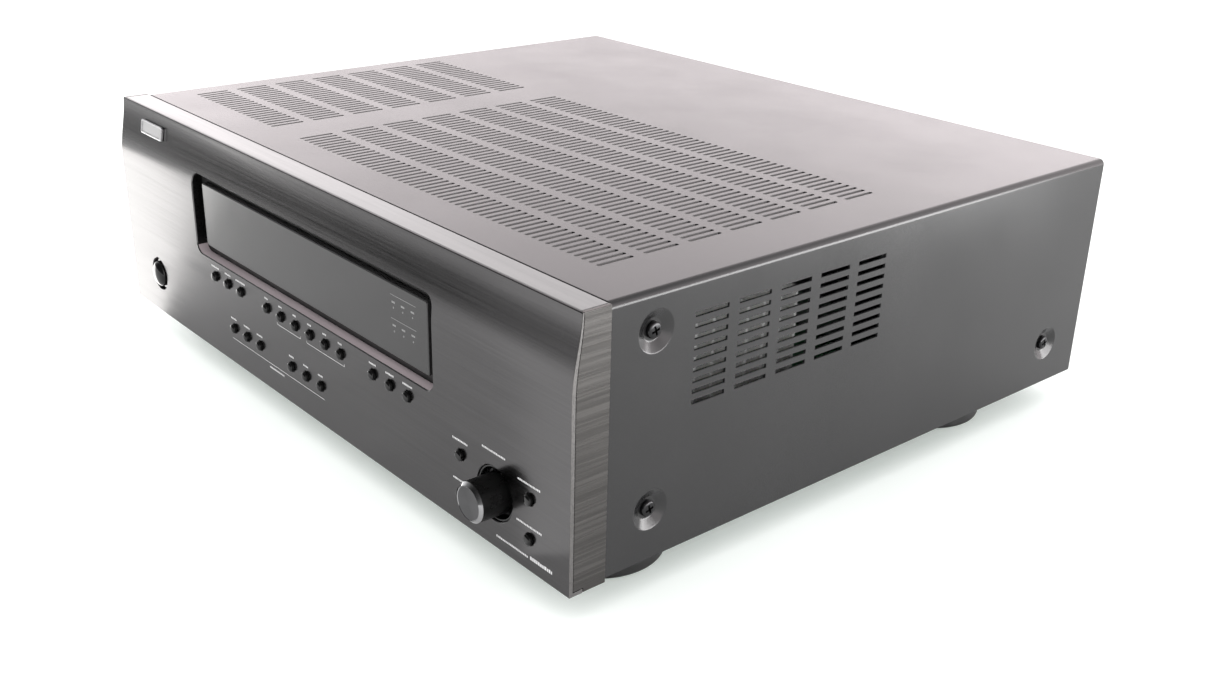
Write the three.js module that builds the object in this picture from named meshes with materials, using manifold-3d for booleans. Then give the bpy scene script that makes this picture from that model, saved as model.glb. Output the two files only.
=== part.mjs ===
// Full-width hi-fi component (stereo receiver / tuner): brushed front panel with a recessed
// display window, a push-and-turn selector knob, rows of small push buttons, a folded steel
// cover on a chassis tray, and the boards, transformer and sockets that it carries.
// Millimetres, +Z up, the front faces -Y. The origin is on the floor, under the middle.

import * as THREE from 'three';
import { mergeVertices } from 'three/addons/utils/BufferGeometryUtils.js';
import Module from 'manifold-3d';

const wasm = await Module();
wasm.setup();

// ---------------------------------------------------------------------------------------
// Driving dimensions. Within the cabinet group x runs to the right as seen from the front,
// y runs back from the front face, and z runs up from the lower edge of the front panel.
// ---------------------------------------------------------------------------------------
const gap = 0.3;                    // air between two pieces that touch on the real object

// Front panel: a C-shaped aluminium extrusion whose face leans back in a soft S near the top.
const panelWidth = 434;
const panelHeight = 126;
const panelDepth = 19.5;
const wallThickness = 6;
const curveStart = 90;              // height where the face starts to lean back
const curveRun = 39;                // height over which the whole S would be completed
const curveDepth = 5;               // how far back the S goes
const curveStep = 4;
const edgeChamfer = 0.5;
const lipDepth = 7.3;
const lipThickness = 2;
const trimThickness = 2;
const trimFront = 6;
const stripThickness = 2;           // front skin that stays visible beside each end cap
const stripTop = 116.3;
const capThickness = 2;

// Display window.
const windowWidth = 238.6;
const windowBottom = 56.9;
const windowTop = 103.1;
const windowCorner = 5.5;
const lensWidth = 224.9;
const lensBottom = 61.9;
const lensTop = 98.1;
const lensSetback = 2.9;

// Small push buttons.
const buttonRadius = 2.6;
const buttonHoleRadius = 3;
const buttonProud = 2.4;
const buttonStemEnd = 17;
const buttonPitch = 15.2;
const upperRowZ = 47.8;
const lowerRowZ = 22.3;
const upperRowX = [-6.47, -5.47, -4.47, -2.5, -1.5, -0.5, 0.5, 1.5, 2.5, 4.47, 5.47, 6.47]
  .map((step) => step * buttonPitch);
const lowerRowX = [-5.26, -4.26, -3.26, -0.95, 0.05, 1.05].map((step) => step * buttonPitch);

// Selector knob with four buttons at the corners around it.
const knobX = 165.2;
const knobZ = 26.6;
const knobRadius = 9.5;
const knobFaceRadius = 8;
const knobProud = 13.8;
const knobRear = 3;
const knobHoleRadius = 13.2;
const shaftRadius = 3;
const shaftFront = -9;
const shaftRear = 17;
const cornerOffsetX = 25;
const cornerUpperZ = 35;
const cornerLowerZ = 15.8;

// Power button.
const powerX = -178.8;
const powerZ = 25.6;
const powerRadius = 9;
const powerHoleRadius = 10;
const powerProud = 3;
const powerStemEnd = 17;

// Badge: a blank plate on the leaning part of the face.
const badgeX = -173;
const badgeZ = 115;
const badgeWidth = 28;
const badgeHeight = 8;
const badgeThickness = 1.4;

// Cover, chassis and rear panel, all folded steel sheet.
const sheet = 1.2;
const coverHalfWidth = 215.7;
const coverFront = 20.2;
const coverRear = 372;
const coverBottom = 1.5;
const bendRadius = 3.2;
const trayHalfWidth = 211.4;
const trayFront = 31.8;
const trayRear = 368.9;
const trayBottom = 1.8;
const trayWallTop = 36;
const bracketFront = 30;
const bracketEarRear = 64;
const rearPanelFront = 369.2;

// Side ventilation: columns of short slots, one over the other, on both sides.
const ventColumns = 5;
const ventColumnPitch = 25.75;
const ventFirstY = 76;
const ventRows = 9;
const ventRowPitch = 5;
const ventFirstZ = 69.8;
const ventLength = 19.5;
const ventHeight = 2.1;

// Side screws, each in a conical dimple pressed into the cover.
const sideScrews = [
  { name: 'upper_front', y: 44.5, z: 108.1 },
  { name: 'lower_front', y: 45, z: 25.6 },
  { name: 'lower_rear', y: 341.3, z: 25.6 },
];
const dimpleRadius = 9.5;
const dimpleFloorRadius = 5.2;
const dimpleDepth = 2.6;
const screwHeadRadius = 3.8;
const screwHeadHeight = 2.1;
const screwShankRadius = 1.9;
const screwShankLength = 8;
const clearanceRadius = 2.3;        // holes that the screw shanks pass through

// Feet.
const footHeight = 15.5;
const footRadius = 32;
const footX = 171;
const footFrontY = 53.6;
const footRearY = 294.6;

// Boards and the parts on them.
const boardThickness = 1.6;
const frontBoardY = 22;
const mainBoardZ = 10;
const finCount = 8;
const finPitch = 10.7;

// Rear connectors.
const coaxRear = 384;
const jackRear = 380;

const frontFaceY = -(coaxRear - knobProud) / 2;
const halfPanel = panelWidth / 2;
const capInner = halfPanel - capThickness;
const panelBodyHalf = capInner - gap;
const trimBottom = panelHeight - trimThickness;
const coverInner = coverHalfWidth - sheet;
const coverTopInner = panelHeight - sheet;
const trayFloorTop = trayBottom + sheet;
const rearPanelRear = rearPanelFront + sheet;

// ---------------------------------------------------------------------------------------
// Materials
// ---------------------------------------------------------------------------------------
const finish = (color, roughness, metalness) =>
  new THREE.MeshStandardMaterial({ color, roughness, metalness });
const materials = {
  anodised: finish(0x4a4b4d, 0.4, 0.9),
  lightDeck: finish(0x8d8a8c, 0.35, 0.9),
  paintedSteel: finish(0x4c4c4d, 0.6, 0.3),
  bareSteel: finish(0x9a9c9e, 0.4, 0.9),
  silver: finish(0xd9dadb, 0.25, 0.95),
  blackPlastic: finish(0x151515, 0.5, 0),
  glossBlack: finish(0x0b0b0c, 0.12, 0),
  smokedLens: finish(0x3c3d3f, 0.1, 0),
  tubeGlass: finish(0x1c2422, 0.1, 0),
  circuitBoard: finish(0x2d5a35, 0.6, 0),
  blackScrew: finish(0x1c1c1d, 0.3, 0.8),
  footPlastic: finish(0x2b2b2c, 0.6, 0),
  transformer: finish(0x6f6558, 0.6, 0.4),
  finAluminium: finish(0xa9abad, 0.45, 0.9),
};

// ---------------------------------------------------------------------------------------
// Shape helpers
// ---------------------------------------------------------------------------------------
const point = (u, v) => new THREE.Vector2(u, v);

/** A box between two corners. */
function block(x0, x1, y0, y1, z0, z1) {
  const geometry = new THREE.BoxGeometry(x1 - x0, y1 - y0, z1 - z0);
  return geometry.translate((x0 + x1) / 2, (y0 + y1) / 2, (z0 + z1) / 2);
}

/** A round bar along y, centred on (x, z). */
function rodAlongY(radius, x, z, y0, y1, segments) {
  const geometry = new THREE.CylinderGeometry(radius, radius, y1 - y0, segments);
  return geometry.translate(x, (y0 + y1) / 2, z);
}

/** A round bar along z, centred on (x, y). */
function rodAlongZ(radius, x, y, z0, z1, segments) {
  const geometry = new THREE.CylinderGeometry(radius, radius, z1 - z0, segments);
  return geometry.rotateX(Math.PI / 2).translate(x, y, (z0 + z1) / 2);
}

/** A (y, z) outline extruded along x. */
function outlineAlongX(points, x0, x1) {
  const geometry = new THREE.ExtrudeGeometry(new THREE.Shape(points), {
    depth: x1 - x0, bevelEnabled: false,
  });
  const basis = new THREE.Matrix4().makeBasis(
    new THREE.Vector3(0, 1, 0), new THREE.Vector3(0, 0, 1), new THREE.Vector3(1, 0, 0));
  return geometry.applyMatrix4(basis).translate(x0, 0, 0);
}

/** An (x, z) shape extruded along y, from y0 back to y1. */
function shapeAlongY(shape, y0, y1, curveSegments) {
  const geometry = new THREE.ExtrudeGeometry(shape, {
    depth: y1 - y0, bevelEnabled: false, curveSegments,
  });
  const basis = new THREE.Matrix4().makeBasis(
    new THREE.Vector3(1, 0, 0), new THREE.Vector3(0, 0, 1), new THREE.Vector3(0, -1, 0));
  return geometry.applyMatrix4(basis).translate(0, y1, 0);
}

/** A turned piece: (radius, y) points spun around the y axis. */
const turned = (points, segments) => new THREE.LatheGeometry(points, segments);

/** A rectangle with round corners. */
function roundedRectangle(x0, x1, z0, z1, radius) {
  const shape = new THREE.Shape();
  shape.moveTo(x0 + radius, z0);
  shape.lineTo(x1 - radius, z0);
  shape.absarc(x1 - radius, z0 + radius, radius, -Math.PI / 2, 0, false);
  shape.lineTo(x1, z1 - radius);
  shape.absarc(x1 - radius, z1 - radius, radius, 0, Math.PI / 2, false);
  shape.lineTo(x0 + radius, z1);
  shape.absarc(x0 + radius, z1 - radius, radius, Math.PI / 2, Math.PI, false);
  shape.lineTo(x0, z0 + radius);
  shape.absarc(x0 + radius, z0 + radius, radius, Math.PI, Math.PI * 1.5, false);
  return shape;
}

/** A manifold solid made from a closed three.js geometry. */
function solid(geometry) {
  const bare = geometry.clone();
  bare.deleteAttribute('normal');
  bare.deleteAttribute('uv');
  const merged = mergeVertices(bare, 1e-4);
  return new wasm.Manifold(new wasm.Mesh({
    numProp: 3,
    vertProperties: new Float32Array(merged.attributes.position.array),
    triVerts: new Uint32Array(merged.index.array),
  }));
}

/** The three.js geometry of a manifold solid. */
function surface(body) {
  const mesh = body.getMesh();
  const geometry = new THREE.BufferGeometry();
  geometry.setAttribute('position', new THREE.BufferAttribute(mesh.vertProperties, 3));
  geometry.setIndex(new THREE.BufferAttribute(mesh.triVerts, 1));
  geometry.computeVertexNormals();
  return geometry;
}

const joined = (geometries) =>
  geometries.map(solid).reduce((whole, piece) => whole.add(piece));

/** The first list joined, less everything in the second list. */
const carve = (kept, removed) =>
  surface(removed.length ? joined(kept).subtract(joined(removed)) : joined(kept));

// ---------------------------------------------------------------------------------------
// Assembly helpers
// ---------------------------------------------------------------------------------------
const receiver = new THREE.Group();
const cabinet = new THREE.Group();
cabinet.position.set(0, frontFaceY, footHeight);
receiver.add(cabinet);

function addPiece(name, geometry, material, x = 0, y = 0, z = 0) {
  const piece = new THREE.Mesh(geometry, material);
  piece.name = name;
  piece.position.set(x, y, z);
  cabinet.add(piece);
  return piece;
}

// ---------------------------------------------------------------------------------------
// Front panel, its trim and its end caps
// ---------------------------------------------------------------------------------------

/** How far back the front face lies at height z. */
function setback(z) {
  if (z <= curveStart) return 0;
  return curveDepth * (1 - Math.cos(Math.PI * (z - curveStart) / curveRun)) / 2;
}

/** Points up the front face from bottom to top, inset behind it. */
function facePoints(bottom, top, inset) {
  const points = [point(inset + setback(bottom), bottom)];
  const start = Math.max(bottom, curveStart);
  const steps = Math.ceil((top - start) / curveStep);
  for (let i = bottom < curveStart ? 0 : 1; i <= steps; i += 1) {
    const z = start + (top - start) * i / steps;
    points.push(point(inset + setback(z), z));
  }
  return points;
}

/** Cross-section of the extrusion: face, bottom lip, and the flange that carries the trim. */
function panelSection() {
  const trimSeat = trimBottom - gap;
  const gussetDepth = 3.5;
  const gussetHeight = 12;
  const flangeBottom = trimSeat - lipThickness;
  return [
    point(lipDepth, 0),
    point(edgeChamfer, 0),
    ...facePoints(edgeChamfer, panelHeight - edgeChamfer, 0),
    point(setback(panelHeight) + edgeChamfer, panelHeight),
    point(trimFront - gap, panelHeight),
    point(trimFront - gap, trimSeat),
    point(panelDepth, trimSeat),
    point(panelDepth, flangeBottom),
    point(wallThickness + gussetDepth, flangeBottom),
    point(wallThickness, flangeBottom - gussetHeight),
    point(wallThickness, lipThickness),
    point(lipDepth, lipThickness),
  ];
}

/** Section of what is milled away at each end, which leaves only a thin front skin and lip. */
function endCutSection() {
  const outside = 1;
  return [
    point(lipDepth, -outside),
    point(lipDepth, lipThickness),
    ...facePoints(lipThickness, stripTop, stripThickness),
    point(-outside, stripTop),
    point(-outside, panelHeight + outside),
    point(panelDepth + outside, panelHeight + outside),
    point(panelDepth + outside, -outside),
  ];
}

/** Outline of an end cap, which closes the C behind the strip and reaches the face above it. */
function capOutline() {
  const floor = lipThickness + gap;
  return [
    point(lipDepth + gap, gap),
    point(lipDepth + gap, floor),
    ...facePoints(floor, stripTop + gap, stripThickness + gap),
    ...facePoints(stripTop + gap, panelHeight - edgeChamfer, 0),
    point(setback(panelHeight) + edgeChamfer, panelHeight),
    point(panelDepth, panelHeight),
    point(panelDepth, gap),
  ];
}

const buttonPlaces = [
  ...upperRowX.map((x, i) => ({ name: `upper_button_${i + 1}`, x, z: upperRowZ })),
  ...lowerRowX.map((x, i) => ({ name: `lower_button_${i + 1}`, x, z: lowerRowZ })),
  { name: 'knob_button_upper_left', x: knobX - cornerOffsetX, z: cornerUpperZ },
  { name: 'knob_button_upper_right', x: knobX + cornerOffsetX, z: cornerUpperZ },
  { name: 'knob_button_lower_left', x: knobX - cornerOffsetX, z: cornerLowerZ },
  { name: 'knob_button_lower_right', x: knobX + cornerOffsetX, z: cornerLowerZ },
];

function frontPanel() {
  const before = -1;
  const behind = wallThickness + 1;
  const windowCut = roundedRectangle(
    -windowWidth / 2, windowWidth / 2, windowBottom, windowTop, windowCorner);
  const holes = buttonPlaces.map(({ x, z }) =>
    rodAlongY(buttonHoleRadius, x, z, before, behind, 12));
  return carve([outlineAlongX(panelSection(), -halfPanel, halfPanel)], [
    outlineAlongX(endCutSection(), panelBodyHalf, halfPanel + 1),
    outlineAlongX(endCutSection(), -halfPanel - 1, -panelBodyHalf),
    shapeAlongY(windowCut, before, behind, 4),
    rodAlongY(knobHoleRadius, knobX, knobZ, before, behind, 28),
    rodAlongY(powerHoleRadius, powerX, powerZ, before, behind, 24),
    ...holes,
  ]);
}

function topTrim() {
  const bevel = gap;
  return outlineAlongX([
    point(trimFront, trimBottom),
    point(trimFront, panelHeight - bevel),
    point(trimFront + bevel, panelHeight),
    point(panelDepth - bevel, panelHeight),
    point(panelDepth, panelHeight - bevel),
    point(panelDepth, trimBottom),
  ], -panelBodyHalf, panelBodyHalf);
}

addPiece('front_panel', frontPanel(), materials.anodised);
addPiece('top_trim', topTrim(), materials.lightDeck);
addPiece('end_cap_left', outlineAlongX(capOutline(), -halfPanel, -capInner), materials.anodised);
addPiece('end_cap_right', outlineAlongX(capOutline(), capInner, halfPanel), materials.anodised);

// The badge lies along the leaning face, on a thin layer of adhesive.
const badgeLean = Math.atan(setback(badgeZ + 1) - setback(badgeZ));
const badgeGeometry = new THREE.BoxGeometry(badgeWidth, badgeThickness, badgeHeight);
badgeGeometry.translate(0, -badgeThickness / 2 - gap, 0);
const badge = addPiece(
  'badge_plate', badgeGeometry, materials.silver, badgeX, setback(badgeZ), badgeZ);
badge.rotation.x = -badgeLean;

// ---------------------------------------------------------------------------------------
// Display: smoked lens, the black frame that holds it, and the display tube behind it
// ---------------------------------------------------------------------------------------
const frameThickness = 2.7;
const frameOverlap = 4;
const flangeThickness = 1.8;
const frameFront = wallThickness + gap;
const frameRear = frameFront + frameThickness;
const flangeFront = frameRear + gap;
const lensRear = flangeFront + flangeThickness;

function windowFrame() {
  const outer = block(
    -windowWidth / 2 - frameOverlap, windowWidth / 2 + frameOverlap,
    frameFront, frameRear, windowBottom - frameOverlap, windowTop + frameOverlap);
  const inner = block(
    -lensWidth / 2 - gap, lensWidth / 2 + gap,
    frameFront - 1, frameRear + 1, lensBottom - gap, lensTop + gap);
  return carve([outer], [inner]);
}

function displayLens() {
  const flange = 4;
  return carve([
    block(-lensWidth / 2, lensWidth / 2, lensSetback, lensRear, lensBottom, lensTop),
    block(-lensWidth / 2 - flange, lensWidth / 2 + flange,
      flangeFront, lensRear, lensBottom - flange, lensTop + flange),
  ], []);
}

/** A glass display tube on its base plate, centred behind the lens. */
function displayTube() {
  const middleZ = (lensBottom + lensTop) / 2;
  const glassFront = lensRear + 1.5;
  const plateRear = frontBoardY - gap;
  const plateFront = plateRear - 2.2;
  const slab = (halfX, y0, y1, halfZ) =>
    block(-halfX, halfX, y0, y1, middleZ - halfZ, middleZ + halfZ);
  return carve([
    slab(98, glassFront, plateRear - 1, 13),
    slab(104, plateFront, plateRear, 16),
  ], []);
}

addPiece('window_frame', windowFrame(), materials.blackPlastic);
addPiece('display_window', displayLens(), materials.smokedLens);
addPiece('display_tube', displayTube(), materials.tubeGlass);

// ---------------------------------------------------------------------------------------
// Push buttons: a domed tip, a collar that keeps it behind the panel, and a stem
// ---------------------------------------------------------------------------------------
function smallButton() {
  const collarFront = wallThickness + 0.4;
  const collarRear = collarFront + 1.2;
  const collarRadius = buttonHoleRadius + 0.8;
  const stemRadius = 1.6;
  const domeHeight = 1.2;
  return turned([
    point(0, -buttonProud),
    point(buttonRadius * 0.6, domeHeight / 3 - buttonProud),
    point(buttonRadius, domeHeight - buttonProud),
    point(buttonRadius, collarFront),
    point(collarRadius, collarFront),
    point(collarRadius, collarRear),
    point(stemRadius, collarRear),
    point(stemRadius, buttonStemEnd),
    point(0, buttonStemEnd),
  ], 8);
}

function powerButton() {
  const collarFront = wallThickness + 1;
  const collarRear = collarFront + 1.4;
  const collarRadius = powerHoleRadius + 1;
  const stemRadius = 3;
  const domeSteps = 3;
  const dome = [];
  for (let i = 0; i <= domeSteps; i += 1) {
    const turn = (Math.PI / 2) * i / domeSteps;
    dome.push(point(powerRadius * Math.sin(turn), -powerProud * Math.cos(turn)));
  }
  return turned([
    ...dome,
    point(powerRadius, collarFront),
    point(collarRadius, collarFront),
    point(collarRadius, collarRear),
    point(stemRadius, collarRear),
    point(stemRadius, powerStemEnd),
    point(0, powerStemEnd),
  ], 18);
}

const smallButtonGeometry = smallButton();
for (const { name, x, z } of buttonPlaces) {
  addPiece(name, smallButtonGeometry, materials.glossBlack, x, 0, z);
}
addPiece('power_button', powerButton(), materials.glossBlack, powerX, 0, powerZ);

// ---------------------------------------------------------------------------------------
// Selector knob: knob, the shaft that it turns on and pushes in, encoder, and a black cup
// ---------------------------------------------------------------------------------------
const cupFloor = wallThickness + gap;
const cupRear = cupFloor + 2;

function selectKnob() {
  const bore = shaftRadius + gap;
  const chamfer = knobRadius - knobFaceRadius;
  return turned([
    point(0, -knobProud),
    point(knobFaceRadius, -knobProud),
    point(knobRadius, chamfer - knobProud),
    point(knobRadius, knobRear),
    point(bore, knobRear),
    point(bore, shaftFront - gap),
    point(0, shaftFront - gap),
  ], 24);
}

function knobShaft() {
  return turned([
    point(0, shaftFront),
    point(shaftRadius, shaftFront),
    point(shaftRadius, shaftRear),
    point(0, shaftRear),
  ], 12);
}

function knobCup() {
  const rimRadius = knobHoleRadius - gap;
  const innerRadius = rimRadius - 0.9;
  const flangeRadius = knobHoleRadius + 3;
  const boreRadius = shaftRadius + 1;
  const rimFront = 0.8;
  const floorFront = cupRear - 1.5;
  return turned([
    point(rimRadius, rimFront),
    point(rimRadius, cupFloor),
    point(flangeRadius, cupFloor),
    point(flangeRadius, cupRear),
    point(boreRadius, cupRear),
    point(boreRadius, floorFront),
    point(innerRadius, floorFront),
    point(innerRadius, rimFront),
    point(rimRadius, rimFront),
  ], 24);
}

/** Encoder body on the front board, with a bush that guides the shaft. */
function rotaryEncoder() {
  const bodyHalf = 6.5;
  const bodyFront = 15;
  const bushRadius = 4.5;
  const bushFront = cupRear + gap;
  const boreEnd = shaftRear + 2;
  return carve([
    block(-bodyHalf, bodyHalf, bodyFront, frontBoardY - gap, -bodyHalf, bodyHalf),
    rodAlongY(bushRadius, 0, 0, bushFront, bodyFront + 1, 20),
  ], [
    rodAlongY(shaftRadius + gap, 0, 0, bushFront - 1, boreEnd, 16),
  ]);
}

addPiece('knob_cup', knobCup(), materials.blackPlastic, knobX, 0, knobZ);
addPiece('knob_shaft', knobShaft(), materials.bareSteel, knobX, 0, knobZ);
addPiece('select_knob', selectKnob(), materials.glossBlack, knobX, 0, knobZ);
addPiece('rotary_encoder', rotaryEncoder(), materials.bareSteel, knobX, 0, knobZ);

// ---------------------------------------------------------------------------------------
// Boards behind the front panel, and the bracket that carries them
// ---------------------------------------------------------------------------------------
/** Key and display board, with a tactile switch behind each small button. */
function frontBoard() {
  const switchHalf = 3;
  const switchDepth = 3.6;
  const switches = buttonPlaces.map(({ x, z }) => block(
    x - switchHalf, x + switchHalf, frontBoardY - switchDepth, frontBoardY + 0.5,
    z - switchHalf, z + switchHalf));
  const boardRear = frontBoardY + boardThickness;
  const board = block(-112, 206, frontBoardY, boardRear, 6, 112);
  const ribbonConnector = block(-60, -20, boardRear - 0.5, boardRear + 5, 10, 18);
  return carve([board, ribbonConnector, ...switches], []);
}

/** Power switch on a small board of its own. */
function powerSwitch() {
  const half = 6.5;
  const bodyRear = 26.5;
  const body = block(-half, half, 20, bodyRear + 0.5, -half, half);
  const board = block(-18, 18, bodyRear, bodyRear + boardThickness, -17, 17);
  return carve([body, board], []);
}

/** Clearance holes for the side screws, through whatever stands inside the cover. */
function screwClearances(side, screws) {
  const length = 14;
  return screws.map(({ y, z }) => {
    const hole = new THREE.CylinderGeometry(clearanceRadius, clearanceRadius, length, 12);
    return hole.rotateZ(Math.PI / 2).translate(side * (trayHalfWidth - 1), y, z);
  });
}

/** A plate across the front of the chassis, with a shelf below and an ear folded back at each end. */
function frontBracket() {
  const plateRear = bracketFront + sheet;
  const top = 121;
  const bottom = 4;
  const earInner = trayHalfWidth - sheet;
  const earScrews = sideScrews.filter(({ y }) => y < bracketEarRear);
  const cutout = (x0, x1, z0, z1) => block(x0, x1, bracketFront - 1, plateRear + 1, z0, z1);
  return carve([
    block(-trayHalfWidth, trayHalfWidth, bracketFront, plateRear, bottom, top),
    block(-trayHalfWidth, trayHalfWidth, lipDepth + 1, plateRear, bottom, bottom + sheet),
    block(earInner, trayHalfWidth, bracketFront, bracketEarRear, bottom, top),
    block(-trayHalfWidth, -earInner, bracketFront, bracketEarRear, bottom, top),
  ], [
    cutout(-190, -20, 58, 110),
    cutout(20, 190, 58, 110),
    cutout(-120, 120, 14, 46),
    ...screwClearances(1, earScrews),
    ...screwClearances(-1, earScrews),
  ]);
}

addPiece('front_board', frontBoard(), materials.circuitBoard);
addPiece('power_switch', powerSwitch(), materials.blackPlastic, powerX, 0, powerZ);
addPiece('front_bracket', frontBracket(), materials.bareSteel);

// ---------------------------------------------------------------------------------------
// Chassis tray, rear panel and feet
// ---------------------------------------------------------------------------------------
/** Floor of the chassis with stiffening ribs, side walls and a low rear upstand. */
function chassisTray() {
  const wallFront = bracketEarRear + 2;
  const rearScrews = sideScrews.filter(({ y }) => y > wallFront);
  const ribHalf = 4;
  const ribInset = 20;
  const ribs = [-70, 0, 70].map((x) => block(
    x - ribHalf, x + ribHalf, trayFront + ribInset, trayRear - ribInset,
    trayFloorTop - 0.5, trayFloorTop + 2.5));
  const rearUpstand = 12;
  return carve([
    block(-trayHalfWidth, trayHalfWidth, trayFront, trayRear, trayBottom, trayFloorTop),
    block(trayHalfWidth - sheet, trayHalfWidth, wallFront, trayRear, trayBottom, trayWallTop),
    block(-trayHalfWidth, sheet - trayHalfWidth, wallFront, trayRear, trayBottom, trayWallTop),
    block(-trayHalfWidth, trayHalfWidth, trayRear - sheet, trayRear, trayBottom, rearUpstand),
    ...ribs,
  ], [
    ...screwClearances(1, rearScrews),
    ...screwClearances(-1, rearScrews),
  ]);
}

/** A round foot that stands on a ring, with a shallow recess in the middle. */
function foot() {
  const bevel = 1.5;
  const recess = 1;
  const ringWidth = 11;
  const top = coverBottom;
  return turned([
    point(0, recess - footHeight),
    point(footRadius - ringWidth, recess - footHeight),
    point(footRadius - ringWidth, -footHeight),
    point(footRadius - bevel, -footHeight),
    point(footRadius, bevel - footHeight),
    point(footRadius, top),
    point(0, top),
  ], 20).rotateX(Math.PI / 2);
}

addPiece('bottom_chassis', chassisTray(), materials.bareSteel);
const footGeometry = foot();
for (const [end, y] of [['front', footFrontY], ['rear', footRearY]]) {
  for (const [side, x] of [['left', -footX], ['right', footX]]) {
    addPiece(`foot_${end}_${side}`, footGeometry, materials.footPlastic, x, y, 0);
  }
}

// ---------------------------------------------------------------------------------------
// Rear connectors, each a block inside with its socket through the rear panel
// ---------------------------------------------------------------------------------------
const inletX = -160;
const inletZ = 40;
const inletHalfX = 13.5;
const inletHalfZ = 10;
const jackX = -20;
const jackZ = 40;
const jackSpacing = 16;
const jackRows = [-8, 8];
const jackColumns = [-1.5, -0.5, 0.5, 1.5].map((step) => step * jackSpacing);
const jackRadius = 4.2;
const jackBoreRadius = 1.7;
const jackBoreDepth = 9;
const networkX = 70;
const networkZ = 36;
const networkHalfX = 8;
const networkHalfZ = 7;
const antennaX = 150;
const antennaZ = 72;
const antennaSpacing = 24;
const coaxRadius = 4.8;
const coaxBoreRadius = 1;
const coaxBoreDepth = 8;
const socketInnerFront = rearPanelFront - gap;

/** Appliance inlet: flange outside, body inside, and a cavity with three blades. */
function mainsInlet() {
  const flangeFront = rearPanelRear + gap;
  const flangeRear = flangeFront + 2.5;
  const bodyFront = flangeRear - 21;
  const cavityFloor = flangeRear - 17;
  const bladeRear = flangeRear - 6;
  const body = block(
    -inletHalfX, inletHalfX, bodyFront, flangeRear - 1, -inletHalfZ, inletHalfZ);
  const flange = block(-25, 25, flangeFront, flangeRear, -11.5, 11.5);
  const cavity = block(-12, 12, cavityFloor, flangeRear + 1, -8, 8);
  const blade = (x, z) => block(x - 1, x + 1, cavityFloor - 1, bladeRear, z - 2, z + 2);
  const shell = carve([body, flange], [cavity]);
  return carve([shell, blade(-7, -2), blade(7, -2), blade(0, 2)], []);
}

/** Eight phono sockets on one block. */
function outputJacks() {
  const sleeves = jackColumns.flatMap((x) => jackRows.map((z) =>
    rodAlongY(jackRadius, x, z, socketInnerFront - 1, jackRear, 10)));
  const bores = jackColumns.flatMap((x) => jackRows.map((z) =>
    rodAlongY(jackBoreRadius, x, z, jackRear - jackBoreDepth, jackRear + 1, 6)));
  const housing = block(-34, 34, socketInnerFront - 12, socketInnerFront, -16, 16);
  return carve([housing, ...sleeves], bores);
}

/** Network socket: a shielded box with its opening flush behind the panel. */
function networkSocket() {
  const rear = rearPanelRear + 0.8;
  const shield = block(
    -networkHalfX, networkHalfX, rear - 16, rear, -networkHalfZ, networkHalfZ);
  const cavity = block(-5.9, 5.9, rear - 13, rear + 1, -4.4, 4.4);
  return carve([shield], [cavity]);
}

/** Two threaded coaxial aerial sockets on one block. */
function antennaTerminals() {
  const places = [-antennaSpacing / 2, antennaSpacing / 2];
  const housing = block(-26, 26, socketInnerFront - 10, socketInnerFront, -11, 11);
  const sleeves = places.map((x) =>
    rodAlongY(coaxRadius, x, 0, socketInnerFront - 1, coaxRear, 12));
  const bores = places.map((x) =>
    rodAlongY(coaxBoreRadius, x, 0, coaxRear - coaxBoreDepth, coaxRear + 1, 6));
  return carve([housing, ...sleeves], bores);
}

/** Flat rear plate with an opening round each connector. */
function rearPanel() {
  const before = rearPanelFront - 1;
  const behind = rearPanelRear + 1;
  const window = (x, z, halfX, halfZ) => block(
    x - halfX - gap, x + halfX + gap, before, behind, z - halfZ - gap, z + halfZ + gap);
  const jackHoles = jackColumns.flatMap((x) => jackRows.map((z) =>
    rodAlongY(jackRadius + 2 * gap, jackX + x, jackZ + z, before, behind, 10)));
  const coaxHoles = [-1, 1].map((side) => rodAlongY(
    coaxRadius + 2 * gap, antennaX + side * antennaSpacing / 2, antennaZ, before, behind, 12));
  return carve([
    block(1 - coverInner, coverInner - 1, rearPanelFront, rearPanelRear,
      trayFloorTop + gap, coverTopInner - 2),
  ], [
    window(inletX, inletZ, inletHalfX, inletHalfZ),
    window(networkX, networkZ, networkHalfX, networkHalfZ),
    ...jackHoles,
    ...coaxHoles,
  ]);
}

addPiece('rear_panel', rearPanel(), materials.paintedSteel);
addPiece('mains_inlet', mainsInlet(), materials.blackPlastic, inletX, 0, inletZ);
addPiece('output_jacks', outputJacks(), materials.blackPlastic, jackX, 0, jackZ);
addPiece('network_socket', networkSocket(), materials.bareSteel, networkX, 0, networkZ);
addPiece('antenna_terminals', antennaTerminals(), materials.bareSteel, antennaX, 0, antennaZ);

// ---------------------------------------------------------------------------------------
// Parts inside: transformer, power supply, heatsink, main board and tuner module
// ---------------------------------------------------------------------------------------

/** A laminated transformer on its mounting strap, its winding standing proud front and back. */
function powerTransformer() {
  const base = trayFloorTop + gap;
  const core = block(-38, 38, -20, 20, base, base + 62);
  const winding = block(-24, 24, -33, 33, base + 12, base + 50);
  const strap = block(-50, 50, -18, 18, base, base + 2);
  return carve([core, winding, strap], []);
}

/** Supply board with two reservoir capacitors, a rectifier and a fuse holder. */
function powerSupplyBoard() {
  const top = mainBoardZ + boardThickness;
  const sunk = top - 0.5;
  const board = block(-60, 60, -50, 50, mainBoardZ, top);
  const reservoirs = [-28, 2].map((x) => rodAlongZ(12, x, 10, sunk, top + 38, 16));
  const rectifier = block(28, 44, 0, 20, sunk, top + 16);
  const fuseHolder = block(-46, -20, -40, -30, sunk, top + 9);
  return carve([board, ...reservoirs, rectifier, fuseHolder], []);
}

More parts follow.
